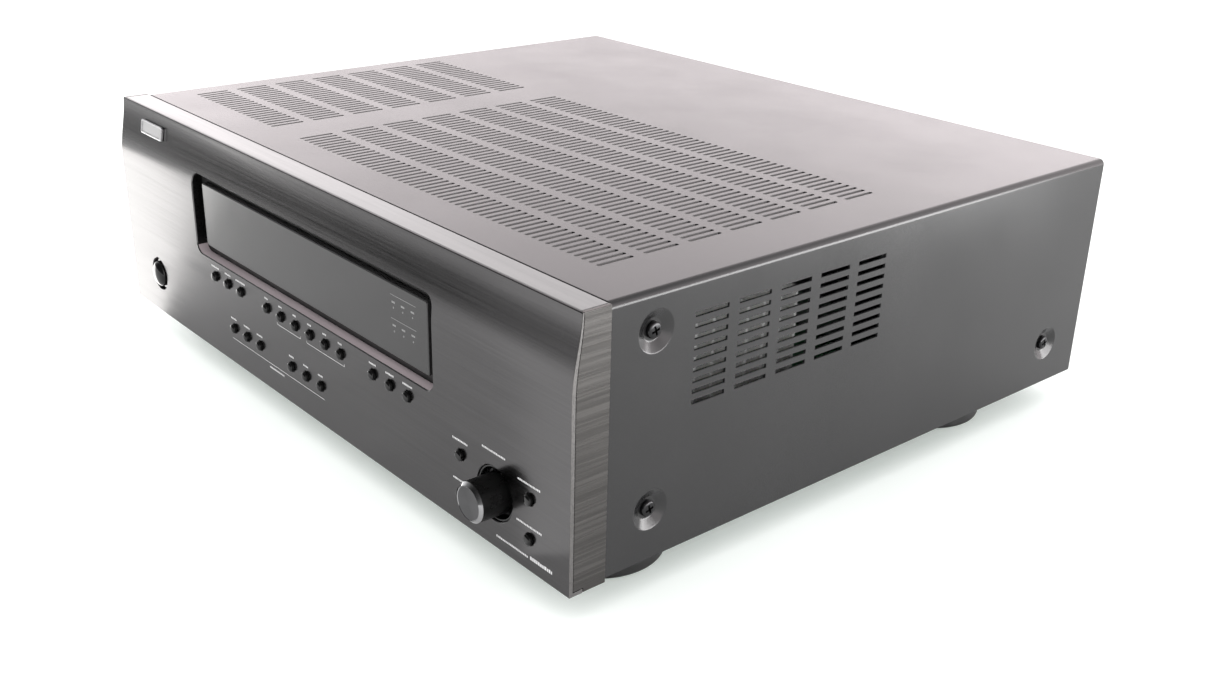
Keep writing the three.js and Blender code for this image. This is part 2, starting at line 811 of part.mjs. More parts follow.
/** Extruded heatsink: a back plate with upright fins towards the side of the cabinet. */
function heatsink() {
  const height = 94;
  const plateThickness = 4;
  const finTip = 24;
  const finHalf = 0.8;
  const overhang = 5;
  const lastFinY = (finCount - 1) * finPitch;
  const fins = [];
  for (let i = 0; i < finCount; i += 1) {
    const y = i * finPitch;
    fins.push(block(plateThickness - 1, finTip, y - finHalf, y + finHalf, 0, height));
  }
  const plate = block(0, plateThickness, -overhang, lastFinY + overhang, 0, height);
  return carve([plate, ...fins], []);
}

/** Main board with its processor, converter chips, connectors and small capacitors. */
function mainBoard() {
  const top = mainBoardZ + boardThickness;
  const sunk = top - 0.5;
  const board = block(-90, 90, -120, 120, mainBoardZ, top);
  const processor = block(-20, 12, -60, -28, sunk, top + 3);
  const memory = block(30, 48, -50, -32, sunk, top + 2);
  const ribbonConnector = block(-70, -34, -112, -104, sunk, top + 8);
  const converter = block(-62, -36, 10, 36, sunk, top + 2.5);
  const capacitors = [-70, -54, -38, -22, -6].map((x) =>
    rodAlongZ(5, x, 96, sunk, top + 13, 10));
  return carve([board, processor, memory, ribbonConnector, converter, ...capacitors], []);
}

/** The radio tuner in its tin can, standing over the main board near the aerial sockets. */
function tunerModule() {
  const can = block(-34, 34, -22, 22, 0, 20);
  const aerialLead = block(-8, 8, 21, 26, 6, 14);
  return carve([can, aerialLead], []);
}

const heatsinkX = 172;
const tunerZ = mainBoardZ + boardThickness + 6;
addPiece('power_transformer', powerTransformer(), materials.transformer, -130, 120, 0);
addPiece('power_supply_board', powerSupplyBoard(), materials.circuitBoard, -135, 260, 0);
addPiece('heatsink', heatsink(), materials.finAluminium, heatsinkX, ventFirstY, trayFloorTop + gap);
addPiece('main_board', mainBoard(), materials.circuitBoard, 50, 210, 0);
addPiece('tuner_module', tunerModule(), materials.bareSteel, 100, 290, tunerZ);

// ---------------------------------------------------------------------------------------
// Cover and its screws
// ---------------------------------------------------------------------------------------

/** A cone along x whose wide end is at the outer face of the cover. */
function dimpleCone(side, y, z, wide, narrow, outer, inner) {
  const cone = new THREE.CylinderGeometry(wide, narrow, outer - inner, 16);
  cone.rotateZ(side > 0 ? -Math.PI / 2 : Math.PI / 2);
  return cone.translate(side * (outer + inner) / 2, y, z);
}

/** Outline of the folded sheet: up one side, across the top and down the other, then back inside. */
function coverSection() {
  const inner = bendRadius - sheet;
  const bendX = coverHalfWidth - bendRadius;
  const bendZ = panelHeight - bendRadius;
  const shape = new THREE.Shape();
  shape.moveTo(-coverHalfWidth, coverBottom);
  shape.lineTo(-coverInner, coverBottom);
  shape.lineTo(-coverInner, bendZ);
  shape.absarc(-bendX, bendZ, inner, Math.PI, Math.PI / 2, true);
  shape.lineTo(bendX, coverTopInner);
  shape.absarc(bendX, bendZ, inner, Math.PI / 2, 0, true);
  shape.lineTo(coverInner, coverBottom);
  shape.lineTo(coverHalfWidth, coverBottom);
  shape.lineTo(coverHalfWidth, bendZ);
  shape.absarc(bendX, bendZ, bendRadius, 0, Math.PI / 2, false);
  shape.lineTo(-bendX, panelHeight);
  shape.absarc(-bendX, bendZ, bendRadius, Math.PI / 2, Math.PI, false);
  return shape;
}

/** Rows of slots through one side of the cover. */
function sideVents(side) {
  const slots = [];
  const middle = side * (coverHalfWidth - sheet / 2);
  for (let column = 0; column < ventColumns; column += 1) {
    for (let row = 0; row < ventRows; row += 1) {
      const y = ventFirstY + column * ventColumnPitch;
      const z = ventFirstZ + row * ventRowPitch;
      slots.push(block(
        middle - sheet, middle + sheet, y - ventLength / 2, y + ventLength / 2,
        z - ventHeight / 2, z + ventHeight / 2));
    }
  }
  return slots;
}

/** The folded cover with its rear fold, its vents and the dimples that the side screws sit in. */
function topCover() {
  const foldHalf = 205;
  const foldBottom = 114;
  const rearFold = block(
    -foldHalf, foldHalf, coverRear - sheet, coverRear, foldBottom, panelHeight - sheet / 2);
  const bumps = [];
  const cuts = [...sideVents(1), ...sideVents(-1)];
  const floor = coverHalfWidth - dimpleDepth;
  const outside = coverHalfWidth + 0.1;
  const bulge = 0.9;
  for (const side of [-1, 1]) {
    for (const { y, z } of sideScrews) {
      bumps.push(dimpleCone(side, y, z, dimpleRadius + bulge, dimpleFloorRadius + bulge,
        coverHalfWidth - sheet / 2, floor - sheet));
      cuts.push(dimpleCone(side, y, z, dimpleRadius, dimpleFloorRadius, outside, floor));
      cuts.push(dimpleCone(
        side, y, z, clearanceRadius, clearanceRadius, floor + 1, floor - sheet - 1));
    }
  }
  return carve([shapeAlongY(coverSection(), coverFront, coverRear, 5), rearFold, ...bumps], cuts);
}

/** A pan-head screw along y, the underside of its head at y = 0. */
function sideScrew() {
  return turned([
    point(0, -screwShankLength),
    point(screwShankRadius, -screwShankLength),
    point(screwShankRadius, 0),
    point(screwHeadRadius, 0),
    point(screwHeadRadius, screwHeadHeight * 0.55),
    point(screwHeadRadius * 0.7, screwHeadHeight),
    point(0, screwHeadHeight),
  ], 10);
}

addPiece('top_cover', topCover(), materials.paintedSteel);
const screwGeometry = sideScrew();
const screwSeat = coverHalfWidth - dimpleDepth + gap;
for (const [sideName, side] of [['left', -1], ['right', 1]]) {
  for (const { name, y, z } of sideScrews) {
    const screw = addPiece(
      `screw_${sideName}_${name}`, screwGeometry, materials.blackScrew, side * screwSeat, y, z);
    screw.rotation.z = -side * Math.PI / 2;
  }
}

export default receiver;
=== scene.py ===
"""Looks of the hi-fi receiver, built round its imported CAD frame.

Shapes are made in the cabinet's own frame, in millimetres: x to the right as seen from the
front, y back from the front face, z up from the lower edge of the front panel. TO_ROW carries
them into the row frame. Places come from the boxes of the CAD nodes.
"""
import math
import random

import bmesh
import bpy
from mathutils import Matrix, Vector


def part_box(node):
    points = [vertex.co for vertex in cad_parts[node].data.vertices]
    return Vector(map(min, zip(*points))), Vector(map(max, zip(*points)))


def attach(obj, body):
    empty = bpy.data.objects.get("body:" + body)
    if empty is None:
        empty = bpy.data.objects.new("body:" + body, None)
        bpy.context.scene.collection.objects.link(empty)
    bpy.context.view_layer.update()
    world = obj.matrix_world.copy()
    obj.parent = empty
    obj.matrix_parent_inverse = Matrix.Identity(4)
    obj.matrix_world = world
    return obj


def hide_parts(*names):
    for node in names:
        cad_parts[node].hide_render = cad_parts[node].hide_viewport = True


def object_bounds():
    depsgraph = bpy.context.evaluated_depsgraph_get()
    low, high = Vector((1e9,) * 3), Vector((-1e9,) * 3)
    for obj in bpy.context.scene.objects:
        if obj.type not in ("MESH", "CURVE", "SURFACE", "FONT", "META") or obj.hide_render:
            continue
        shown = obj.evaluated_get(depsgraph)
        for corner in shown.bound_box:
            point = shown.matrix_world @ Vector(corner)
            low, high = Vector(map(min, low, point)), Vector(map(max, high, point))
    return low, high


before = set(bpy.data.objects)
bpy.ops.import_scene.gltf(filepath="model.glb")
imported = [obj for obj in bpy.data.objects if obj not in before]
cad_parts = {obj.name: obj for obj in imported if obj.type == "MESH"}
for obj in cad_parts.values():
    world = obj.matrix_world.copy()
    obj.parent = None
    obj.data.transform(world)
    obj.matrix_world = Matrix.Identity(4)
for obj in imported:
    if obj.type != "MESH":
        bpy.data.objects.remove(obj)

cad_low, cad_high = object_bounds()

# --- The cabinet's frame ---
MM = 0.001
GAP = 0.3
panel_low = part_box("front_panel")[0]
TO_ROW = Matrix.Translation((0, panel_low.y, panel_low.z)) @ Matrix.Scale(MM, 4)
FROM_ROW = TO_ROW.inverted()


def span(node):
    """Lowest and highest corner of a CAD node, in cabinet millimetres."""
    low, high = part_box(node)
    return FROM_ROW @ low, FROM_ROW @ high


def middle(node):
    low, high = span(node)
    return (low + high) / 2


HALF_PANEL, PANEL_DEPTH, PANEL_HEIGHT = span("front_panel")[1]
COVER_FRONT = span("top_cover")[0].y
HALF_COVER, COVER_REAR, COVER_TOP = span("top_cover")[1]
COVER_BOTTOM = span("top_cover")[0].z
CAP_INNER = span("end_cap_right")[0].x
TRIM_FRONT = span("top_trim")[0].y
TRIM_BOTTOM = span("top_trim")[0].z

# Front panel: the face leans back in a soft S above CURVE_START.
CURVE_START, CURVE_RUN, CURVE_DEPTH = 90.0, 39.0, 5.0
WALL = 6.0
LIP_DEPTH, LIP_THICKNESS = 7.3, 2.0
STRIP_THICKNESS, STRIP_FADE = 2.0, 98.0
EDGE = 0.5
WINDOW_HALF, WINDOW_BOTTOM, WINDOW_TOP, WINDOW_CORNER = 119.3, 56.9, 103.1, 5.5
SMALL_HOLE, KNOB_HOLE, POWER_HOLE = 3.0, 13.2, 10.0

# Cover: folded sheet, with slots through its top and its sides.
SHEET = 1.2
BEND = 3.2
SLOT_WIDTH, SLOT_LENGTH = 2.3, 20.0
SLOT_ROWS, SLOT_FIRST_Y, SLOT_ROW_PITCH = 7, 52.65, 26.07
RIGHT_FIELD = (-70.0, 180.0, 52)
LEFT_FIELD = (-197.3, -102.8, 20)
SIDE_COLUMNS, SIDE_FIRST_Y, SIDE_COLUMN_PITCH = 5, 76.0, 25.75
SIDE_ROWS, SIDE_FIRST_Z, SIDE_ROW_PITCH = 9, 69.8, 5.0
SIDE_SLOT_LENGTH, SIDE_SLOT_HEIGHT = 19.5, 2.1
DIMPLE_RADIUS, DIMPLE_FLOOR, DIMPLE_DEPTH = 9.5, 5.2, 2.6
SCREW_HOLE = 2.3

SMALL_BUTTONS = sorted(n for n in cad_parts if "_button_" in n)
SIDE_SCREWS = sorted(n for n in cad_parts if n.startswith("screw_"))
FEET = sorted(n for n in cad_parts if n.startswith("foot_"))


# --- Outlines ---
def arc(cu, cv, radius, start, end, steps):
    """Points on an arc, its ends included. Angles are in degrees."""
    points = []
    for i in range(steps + 1):
        angle = math.radians(start + (end - start) * i / steps)
        points.append((cu + radius * math.cos(angle), cv + radius * math.sin(angle)))
    return points


def round_rectangle(u0, u1, v0, v1, radius, steps=6):
    return (
        arc(u1 - radius, v0 + radius, radius, -90, 0, steps)
        + arc(u1 - radius, v1 - radius, radius, 0, 90, steps)
        + arc(u0 + radius, v1 - radius, radius, 90, 180, steps)
        + arc(u0 + radius, v0 + radius, radius, 180, 270, steps)
    )


def circle(cu, cv, radius, steps=48):
    return arc(cu, cv, radius, 0, 360, steps)[:-1]


def anticlockwise(outline):
    """The outline, turned round if it runs clockwise."""
    area = 0
    for (u0, v0), (u1, v1) in zip(outline, outline[1:] + outline[:1]):
        area += u0 * v1 - u1 * v0
    return list(outline) if area > 0 else list(reversed(outline))


def inset(outline, distance):
    """An anticlockwise outline moved inwards by distance, or outwards if that is negative."""
    moved = []
    count = len(outline)
    for i in range(count):
        before, here, after = (Vector(outline[k % count]) for k in (i - 1, i, i + 1))
        a = (here - before).normalized()
        b = (after - here).normalized()
        normal = Vector((-a.y - b.y, a.x + b.x)).normalized()
        cosine = max(0.3, normal.dot(Vector((-a.y, a.x))))
        moved.append(tuple(here + normal * distance / cosine))
    return moved


def split_long(outline, step):
    """The outline with points added, so that no side is longer than step."""
    points = []
    for a, b in zip(outline, outline[1:] + outline[:1]):
        parts = max(1, math.ceil(math.dist(a, b) / step))
        for i in range(parts):
            points.append((a[0] + (b[0] - a[0]) * i / parts, a[1] + (b[1] - a[1]) * i / parts))
    return points


# --- Solids ---
def mesh_of(bm):
    """A Blender mesh of a bmesh, its faces turned outwards."""
    bmesh.ops.recalc_face_normals(bm, faces=bm.faces)
    mesh = bpy.data.meshes.new("shape")
    bm.to_mesh(mesh)
    bm.free()
    return mesh


def loft(rings):
    """A closed solid through rings of points, with a flat face on the first and the last."""
    bm = bmesh.new()
    rows = [[bm.verts.new(p) for p in ring] for ring in rings]
    count = len(rows[0])
    for low, high in zip(rows, rows[1:]):
        for i in range(count):
            j = (i + 1) % count
            bm.faces.new((low[i], low[j], high[j], high[i]))
    bm.faces.new(rows[0])
    bm.faces.new(rows[-1])
    return mesh_of(bm)


LIFT = {
    "x": lambda u, v, w: (w, u, v),      # a (y, z) outline pushed along x
    "y": lambda u, v, w: (u, w, v),      # an (x, z) outline pushed along y
    "z": lambda u, v, w: (u, v, w),      # an (x, y) outline pushed along z
}


def prism(outline, axis, start, end, rounds=(0, 0), steps=3):
    """An outline pushed along an axis. Each end's edge is rounded by its radius in rounds."""
    outline = anticlockwise(outline)
    levels = []
    for place, inwards, radius in ((start, 1, rounds[0]), (end, -1, rounds[1])):
        for i in range(steps + 1 if radius else 1):
            turn = math.pi / 2 * i / steps
            depth = radius * (1 - math.cos(turn))
            levels.append((place + inwards * depth, radius * (1 - math.sin(turn))))
    levels.sort()
    rings = []
    for place, shrink in levels:
        rings.append([LIFT[axis](u, v, place) for u, v in inset(outline, shrink)])
    return loft(rings)


def block(x0, x1, y0, y1, z0, z1):
    return prism([(x0, z0), (x1, z0), (x1, z1), (x0, z1)], "y", y0, y1)


def turned(profile, axis="y", at=(0, 0, 0), segments=48):
    """A solid of revolution. The profile is (radius, place along the axis), axis to axis or closed."""
    bm = bmesh.new()
    closed = profile[0] == profile[-1]
    rows = []
    for radius, along in profile[:-1] if closed else profile:
        row = []
        for i in range(1 if radius < 1e-6 else segments):
            angle = 2 * math.pi * i / segments
            u, v = radius * math.cos(angle), radius * math.sin(angle)
            point = {"x": (along, u, v), "y": (u, along, v), "z": (u, v, along)}[axis]
            row.append(bm.verts.new(Vector(point) + Vector(at)))
        rows.append(row)
    for low, high in zip(rows, rows[1:] + rows[:1] if closed else rows[1:]):
        for i in range(segments):
            j = (i + 1) % segments
            corners = (low[i % len(low)], low[j % len(low)], high[j % len(high)], high[i % len(high)])
            corners = list(dict.fromkeys(corners))
            if len(corners) > 2:
                bm.faces.new(corners)
    return mesh_of(bm)


def together(meshes):
    """Several meshes as one, not joined where they touch."""
    bm = bmesh.new()
    for mesh in meshes:
        bm.from_mesh(mesh)
        bpy.data.meshes.remove(mesh)
    mesh = bpy.data.meshes.new("shape")
    bm.to_mesh(mesh)
    bm.free()
    return mesh


def boolean(mesh, other, operation):
    """One closed mesh joined with, or cut by, another."""
    holder = bpy.data.objects.new("holder", mesh)
    tool = bpy.data.objects.new("tool", other)
    for temporary in (holder, tool):
        bpy.context.scene.collection.objects.link(temporary)
    modifier = holder.modifiers.new("boolean", "BOOLEAN")
    modifier.operation = operation
    modifier.solver = "MANIFOLD"
    modifier.object = tool
    graph = bpy.context.evaluated_depsgraph_get()
    result = bpy.data.meshes.new_from_object(holder.evaluated_get(graph))
    for temporary in (holder, tool):
        data = temporary.data
        bpy.data.objects.remove(temporary)
        bpy.data.meshes.remove(data)
    return result


def cut(mesh, cutters):
    return boolean(mesh, together(cutters), "DIFFERENCE")


def join(mesh, *others):
    for other in others:
        mesh = boolean(mesh, other, "UNION")
    return mesh


# --- Pieces ---
def piece(name, mesh, materials, stands_for=(), body="cabinet", sharp=32, place=TO_ROW):
    """A finished piece: in place, shaded, painted, and riding on its body.

    materials is a list of (material, test): a face takes the last material whose test holds
    for the face's centre and normal, in the frame that the mesh was made in.
    """
    obj = bpy.data.objects.new(name, mesh)
    mesh.name = name
    bpy.context.scene.collection.objects.link(obj)
    mesh.materials.clear()
    for index, (material, test) in enumerate(materials):
        mesh.materials.append(material)
        for face in mesh.polygons:
            if test is None or test(face.center, face.normal):
                face.material_index = index
    mesh.transform(place)
    for face in mesh.polygons:
        face.use_smooth = True
    mesh.set_sharp_from_angle(angle=math.radians(sharp))
    weighted = obj.modifiers.new("weighted normals", "WEIGHTED_NORMAL")
    weighted.keep_sharp = True
    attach(obj, body)
    if stands_for:
        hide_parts(*stands_for)
    return obj


# --- Materials ---
class Shader:
    """A material under construction: one Principled shader and the nodes that feed it."""

    def __init__(self, name, colour, roughness, metallic=0.0, **sockets):
        self.material = bpy.data.materials.new(name)
        self.material.use_nodes = True
        self.nodes = self.material.node_tree.nodes
        self.links = self.material.node_tree.links
        self.nodes.clear()
        self.output = self.nodes.new("ShaderNodeOutputMaterial")
        self.principled = self.nodes.new("ShaderNodeBsdfPrincipled")
        self.links.new(self.principled.outputs["BSDF"], self.output.inputs["Surface"])
        self.colour = colour
        self.roughness = roughness
        self.set(Roughness=roughness, Metallic=metallic, **sockets)
        self.principled.inputs["Base Color"].default_value = (*colour, 1)
        self.coordinates = self.nodes.new("ShaderNodeTexCoord").outputs["Object"]
        self.height = None

    def set(self, **sockets):
        for name, value in sockets.items():
            self.principled.inputs[name.replace("_", " ")].default_value = value

    def noise(self, scale, detail=2.0, rough=0.5, distortion=0.0):
        """Noise over the object, with a scale for each axis in cycles per metre."""
        mapping = self.nodes.new("ShaderNodeMapping")
        mapping.inputs["Scale"].default_value = scale
        self.links.new(self.coordinates, mapping.inputs["Vector"])
        noise = self.nodes.new("ShaderNodeTexNoise")
        noise.inputs["Scale"].default_value = 1.0
        noise.inputs["Detail"].default_value = detail
        noise.inputs["Roughness"].default_value = rough
        noise.inputs["Distortion"].default_value = distortion
        self.links.new(mapping.outputs["Vector"], noise.inputs["Vector"])
        return noise.outputs["Fac"]

    def spread(self, value, low, high, start=0.3, end=0.7):
        """The value from start to end, stretched over low to high."""
        node = self.nodes.new("ShaderNodeMapRange")
        for name, number in (("From Min", start), ("From Max", end), ("To Min", low), ("To Max", high)):
            node.inputs[name].default_value = number
        self.links.new(value, node.inputs["Value"])
        return node.outputs["Result"]

    def multiply(self, first, second):
        node = self.nodes.new("ShaderNodeMath")
        node.operation = "MULTIPLY"
        self.links.new(first, node.inputs[0])
        self.links.new(second, node.inputs[1])
        return node.outputs[0]

    def tint(self, *factors):
        """The base colour times each factor, each of which varies round 1."""
        value = factors[0]
        for factor in factors[1:]:
            value = self.multiply(value, factor)
        mix = self.nodes.new("ShaderNodeVectorMath")
        mix.operation = "SCALE"
        mix.inputs[0].default_value = self.colour
        self.links.new(value, mix.inputs["Scale"])
        self.links.new(mix.outputs["Vector"], self.principled.inputs["Base Color"])

    def vary_roughness(self, value, amount):
        result = self.spread(value, self.roughness - amount, self.roughness + amount)
        self.links.new(result, self.principled.inputs["Roughness"])

    def bump(self, value, height):
        """A surface relief of that height in metres. Several calls add up."""
        node = self.nodes.new("ShaderNodeBump")
        node.inputs["Strength"].default_value = 1.0
        node.inputs["Distance"].default_value = height
        self.links.new(value, node.inputs["Height"])
        if self.height is not None:
            self.links.new(self.height, node.inputs["Normal"])
        self.height = node.outputs["Normal"]
        self.links.new(self.height, self.principled.inputs["Normal"])

    def blur_along(self, direction, amount):
        """Stretches reflections along one direction, across the brush lines."""
        tangent = self.nodes.new("ShaderNodeCombineXYZ")
        for socket, number in zip(tangent.inputs, direction):
            socket.default_value = number
        self.links.new(tangent.outputs["Vector"], self.principled.inputs["Tangent"])
        self.set(Anisotropic=amount)


AXES = {"x": (1, 0, 0), "y": (0, 1, 0), "z": (0, 0, 1)}


def brushed(name, colour, roughness, lines, blur, anisotropy=0.75, streaks=0.1):
    """Brushed and anodised aluminium. lines is the axis the brush ran along, blur the one across."""
    shader = Shader(name, colour, roughness, 1.0)
    along = {"x": 0, "y": 1, "z": 2}[lines]

    def stretched(long_scale, short_scale):
        scale = [short_scale] * 3
        scale[along] = long_scale
        return scale

    fine = shader.noise(stretched(25, 5200), detail=3)
    broad = shader.noise(stretched(9, 900), detail=3, rough=0.6)
    cloud = shader.noise((14, 14, 14), detail=2)
    shader.tint(
        shader.spread(fine, 1 - streaks, 1 + streaks),
        shader.spread(broad, 1 - streaks * 0.8, 1 + streaks * 0.8),
        shader.spread(cloud, 0.97, 1.03),
    )
    shader.vary_roughness(broad, 0.05)
    shader.bump(fine, 0.000004)
    shader.bump(broad, 0.000004)
    shader.blur_along(AXES[blur], anisotropy)
    return shader.material


def painted(name, colour, roughness, grain=0.00003, **sockets):
    """Sprayed paint: a fine grain, a little orange peel, and slight mottling."""
    shader = Shader(name, colour, roughness, 0.0, **sockets)
    grit = shader.noise((3400, 3400, 3400), detail=2)
    peel = shader.noise((420, 420, 420), detail=2)
    cloud = shader.noise((22, 22, 22), detail=3)
    shader.tint(shader.spread(grit, 0.9, 1.1), shader.spread(cloud, 0.95, 1.05))
    shader.vary_roughness(cloud, 0.02)
    shader.bump(grit, grain)
    shader.bump(peel, grain * 0.2)
    return shader.material


def moulded(name, colour, roughness, grain=0.00001, mottle=0.06, **sockets):
    """Moulded plastic: a light grain, faint marks in the gloss, and a trace of dust."""
    shader = Shader(name, colour, roughness, 0.0, **sockets)
    grit = shader.noise((2600, 2600, 2600), detail=2)
    marks = shader.noise((180, 180, 180), detail=4, rough=0.7)
    shader.tint(shader.spread(marks, 1 - mottle, 1 + mottle))
    shader.vary_roughness(marks, roughness * 0.25)
    shader.bump(grit, grain)
    return shader.material


def plated(name, colour, roughness, flow=0.000005):
    """Bare or plated metal: small flow marks and a slightly uneven gloss."""
    shader = Shader(name, colour, roughness, 1.0)
    flow_marks = shader.noise((500, 500, 500), detail=3)
    stains = shader.noise((60, 60, 60), detail=4, rough=0.65)
    shader.tint(shader.spread(stains, 0.9, 1.08))
    shader.vary_roughness(stains, 0.07)
    shader.bump(flow_marks, flow)
    return shader.material


def cut_edge(name, colour, roughness):
    """The panel's sawn and tumbled cut edge: grainy, with small bright pits."""
    shader = Shader(name, colour, roughness, 1.0)
    grit = shader.noise((1500, 1500, 1500), detail=3, rough=0.7)
    shader.tint(shader.spread(grit, 0.75, 1.25))
    shader.vary_roughness(grit, 0.08)
    shader.bump(grit, 0.00004)
    return shader.material


def smoked_acrylic():
    shader = Shader("smoked acrylic", (0.022, 0.0215, 0.0218), 0.17, 0.0, Specular_IOR_Level=0.42)
    haze = shader.noise((45, 45, 45), detail=4, rough=0.6)
    scuffs = shader.noise((900, 120, 900), detail=3)
    shader.tint(shader.spread(haze, 0.92, 1.08))
    shader.vary_roughness(haze, 0.02)
    shader.bump(scuffs, 0.0000015)
    return shader.material


def spun_metal(name, colour, roughness):
    """A face turned on a lathe: fine circles, and the two-lobed sheen that goes with them."""
    shader = Shader(name, colour, roughness, 1.0, Anisotropic=0.85, Anisotropic_Rotation=0.25)
    centre_x, _, centre_z = TO_ROW @ middle("select_knob")
    offset = shader.nodes.new("ShaderNodeMapping")
    offset.inputs["Location"].default_value = (-centre_x, 0, -centre_z)
    offset.inputs["Scale"].default_value = (1, 0, 1)
    shader.links.new(shader.coordinates, offset.inputs["Vector"])
    rings = shader.nodes.new("ShaderNodeTexGradient")
    rings.gradient_type = "SPHERICAL"
    shader.links.new(offset.outputs["Vector"], rings.inputs["Vector"])
    waves = shader.nodes.new("ShaderNodeTexNoise")
    waves.noise_dimensions = "1D"
    waves.inputs["Scale"].default_value = 4200
    waves.inputs["Detail"].default_value = 3
    shader.links.new(rings.outputs["Fac"], waves.inputs["W"])
    shader.tint(shader.spread(waves.outputs["Fac"], 0.8, 1.2))
    shader.bump(waves.outputs["Fac"], 0.000006)
    tangent = shader.nodes.new("ShaderNodeTangent")
    tangent.direction_type = "RADIAL"
    tangent.axis = "Y"
    shader.links.new(tangent.outputs["Tangent"], shader.principled.inputs["Tangent"])
    return shader.material


def board_material():
    """Green solder mask over copper tracks."""
    shader = Shader("circuit board", (0.02, 0.09, 0.035), 0.35)
    tracks = shader.noise((260, 90, 260), detail=1)
    weave = shader.noise((1800, 1800, 1800), detail=1)
    shader.tint(shader.spread(tracks, 0.7, 1.25, 0.47, 0.53))
    shader.vary_roughness(weave, 0.06)
    shader.bump(tracks, 0.00003)
    return shader.material


PANEL = brushed(
    "brushed dark anodising", (0.079, 0.077, 0.078), 0.19, "x", "x", anisotropy=0.55, streaks=0.07)
MILLED = brushed("milled anodising", (0.30, 0.285, 0.29), 0.42, "x", "y", anisotropy=0.3, streaks=0.06)
# The side and top walls of the window opening are made near black: painted shade, where these walls lie
# out of the light.
SHADED = brushed("window wall painted shade", (0.035, 0.035, 0.035), 0.3, "x", "y", anisotropy=0.3)
# The window's bottom ledge gets a pale pinkish matt paint: a painted reflection of the pink sheen that
# the ledge catches from above.
LEDGE_SHEEN_PAINT = painted("window ledge painted sheen", (0.36, 0.31, 0.325), 0.3, grain=0.000003)
DECK = brushed("brushed pale deck", (0.208, 0.218, 0.216), 0.32, "x", "y", streaks=0.06)
CAP = brushed("brushed end plate", (0.075, 0.0725, 0.070), 0.27, "y", "z", streaks=0.14)
CUT_EDGE = cut_edge("tumbled cut edge", (0.14, 0.137, 0.134), 0.45)
COVER_PAINT = painted(
    "grey textured paint", (0.022, 0.022, 0.0225), 0.25, grain=0.00002, Specular_IOR_Level=0.42)
# Pale paint on the walls of the top slots stands in for the light that falls into the slots from above:
# painted light.
SLOT_WALL_PAINTED_LIGHT = painted("slot wall painted light", (0.2, 0.19, 0.192), 0.6)
KNOB_BLACK = moulded(
    "satin knob black", (0.004, 0.004, 0.004), 0.3, grain=0.000001, Specular_IOR_Level=0.35)
SATIN_BLACK = moulded("satin black plastic", (0.012, 0.012, 0.012), 0.42)
GLOSS_BLACK = moulded(
    "gloss black plastic", (0.0035, 0.0035, 0.0035), 0.08, grain=0.000001,
    Specular_IOR_Level=0.35)
FOOT_PLASTIC = moulded("dark foot plastic", (0.02, 0.02, 0.02), 0.35, grain=0.00003)
FOOT_PAD = moulded("foot rubber", (0.018, 0.018, 0.018), 0.8, grain=0.00005)
ACRYLIC = smoked_acrylic()
BADGE = brushed("satin badge metal", (0.55, 0.55, 0.56), 0.3, "x", "z", streaks=0.05)
BADGE_FIELD = brushed("etched badge field", (0.42, 0.42, 0.425), 0.45, "x", "z", streaks=0.05)
STEEL = plated("zinc-plated steel", (0.46, 0.47, 0.48), 0.38)
BLACK_SCREW = plated("blackened screw steel", (0.035, 0.035, 0.036), 0.24)
POLISHED = plated("polished chamfer", (0.32, 0.32, 0.325), 0.12, flow=0.000001)
KNOB_FACE = spun_metal("spun knob face", (0.07, 0.07, 0.072), 0.25)
GOLD = plated("gilt contact", (0.72, 0.5, 0.2), 0.25)
NICKEL = plated("nickel sleeve", (0.6, 0.58, 0.54), 0.26)
# The heatsink is made near-white matt instead of metal, so that its fins show bright edges through the
# slots: a painted highlight.
FIN_PAINTED_HIGHLIGHT = painted("fin aluminium painted pale", (0.85, 0.85, 0.84), 0.4, grain=0.000005)
REAR_PAINT = painted("black rear paint", (0.02, 0.02, 0.021), 0.45)
CORE_STEEL = brushed("laminated core", (0.2, 0.19, 0.17), 0.5, "x", "z", streaks=0.25)
BOARD = board_material()
PRINT = painted("pale print", (0.6, 0.6, 0.6), 0.5, grain=0.000005)
INNER_MARK = painted("faint scale mark", (0.2, 0.2, 0.2), 0.4, grain=0.000002)
TUBE_GLASS = moulded("display tube glass", (0.01, 0.02, 0.02), 0.08, grain=0.000001)
WHITE_RING = moulded("white socket ring", (0.6, 0.6, 0.58), 0.35)
RED_RING = moulded("red socket ring", (0.42, 0.015, 0.015), 0.35)


# --- Front panel ---
def setback(z):
    """How far back the front face lies at height z."""
    if z <= CURVE_START:
        return 0
    return CURVE_DEPTH * (1 - math.cos(math.pi * (z - CURVE_START) / CURVE_RUN)) / 2


def up_the_face(bottom, top, behind, step=1.5):
    """(y, z) points up the face, that far behind it."""
    start = max(bottom, CURVE_START)
    count = max(1, math.ceil((top - start) / step))
    points = [(behind + setback(bottom), bottom)] if bottom < start else []
    for i in range(count + 1):
        z = start + (top - start) * i / count
        points.append((behind + setback(z), z))
    return points


def panel_section():
    """Section of the extrusion: face, lip below, and the flange that carries the deck."""
    seat = TRIM_BOTTOM - GAP
    flange = seat - LIP_THICKNESS
    top = setback(PANEL_HEIGHT)
    return (
        arc(EDGE, EDGE, EDGE, 270, 180, 4)
        + up_the_face(EDGE, PANEL_HEIGHT - EDGE, 0)[1:]
        + arc(top + EDGE, PANEL_HEIGHT - EDGE, EDGE, 180, 90, 4)[1:]
        + [
            (TRIM_FRONT - GAP, PANEL_HEIGHT),
            (TRIM_FRONT - GAP, seat),
            (PANEL_DEPTH, seat),
            (PANEL_DEPTH, flange),
            (WALL + 3.5, flange),
            (WALL, flange - 12),
            (WALL, LIP_THICKNESS),
            (LIP_DEPTH, LIP_THICKNESS),
            (LIP_DEPTH, 0),
        ]
    )


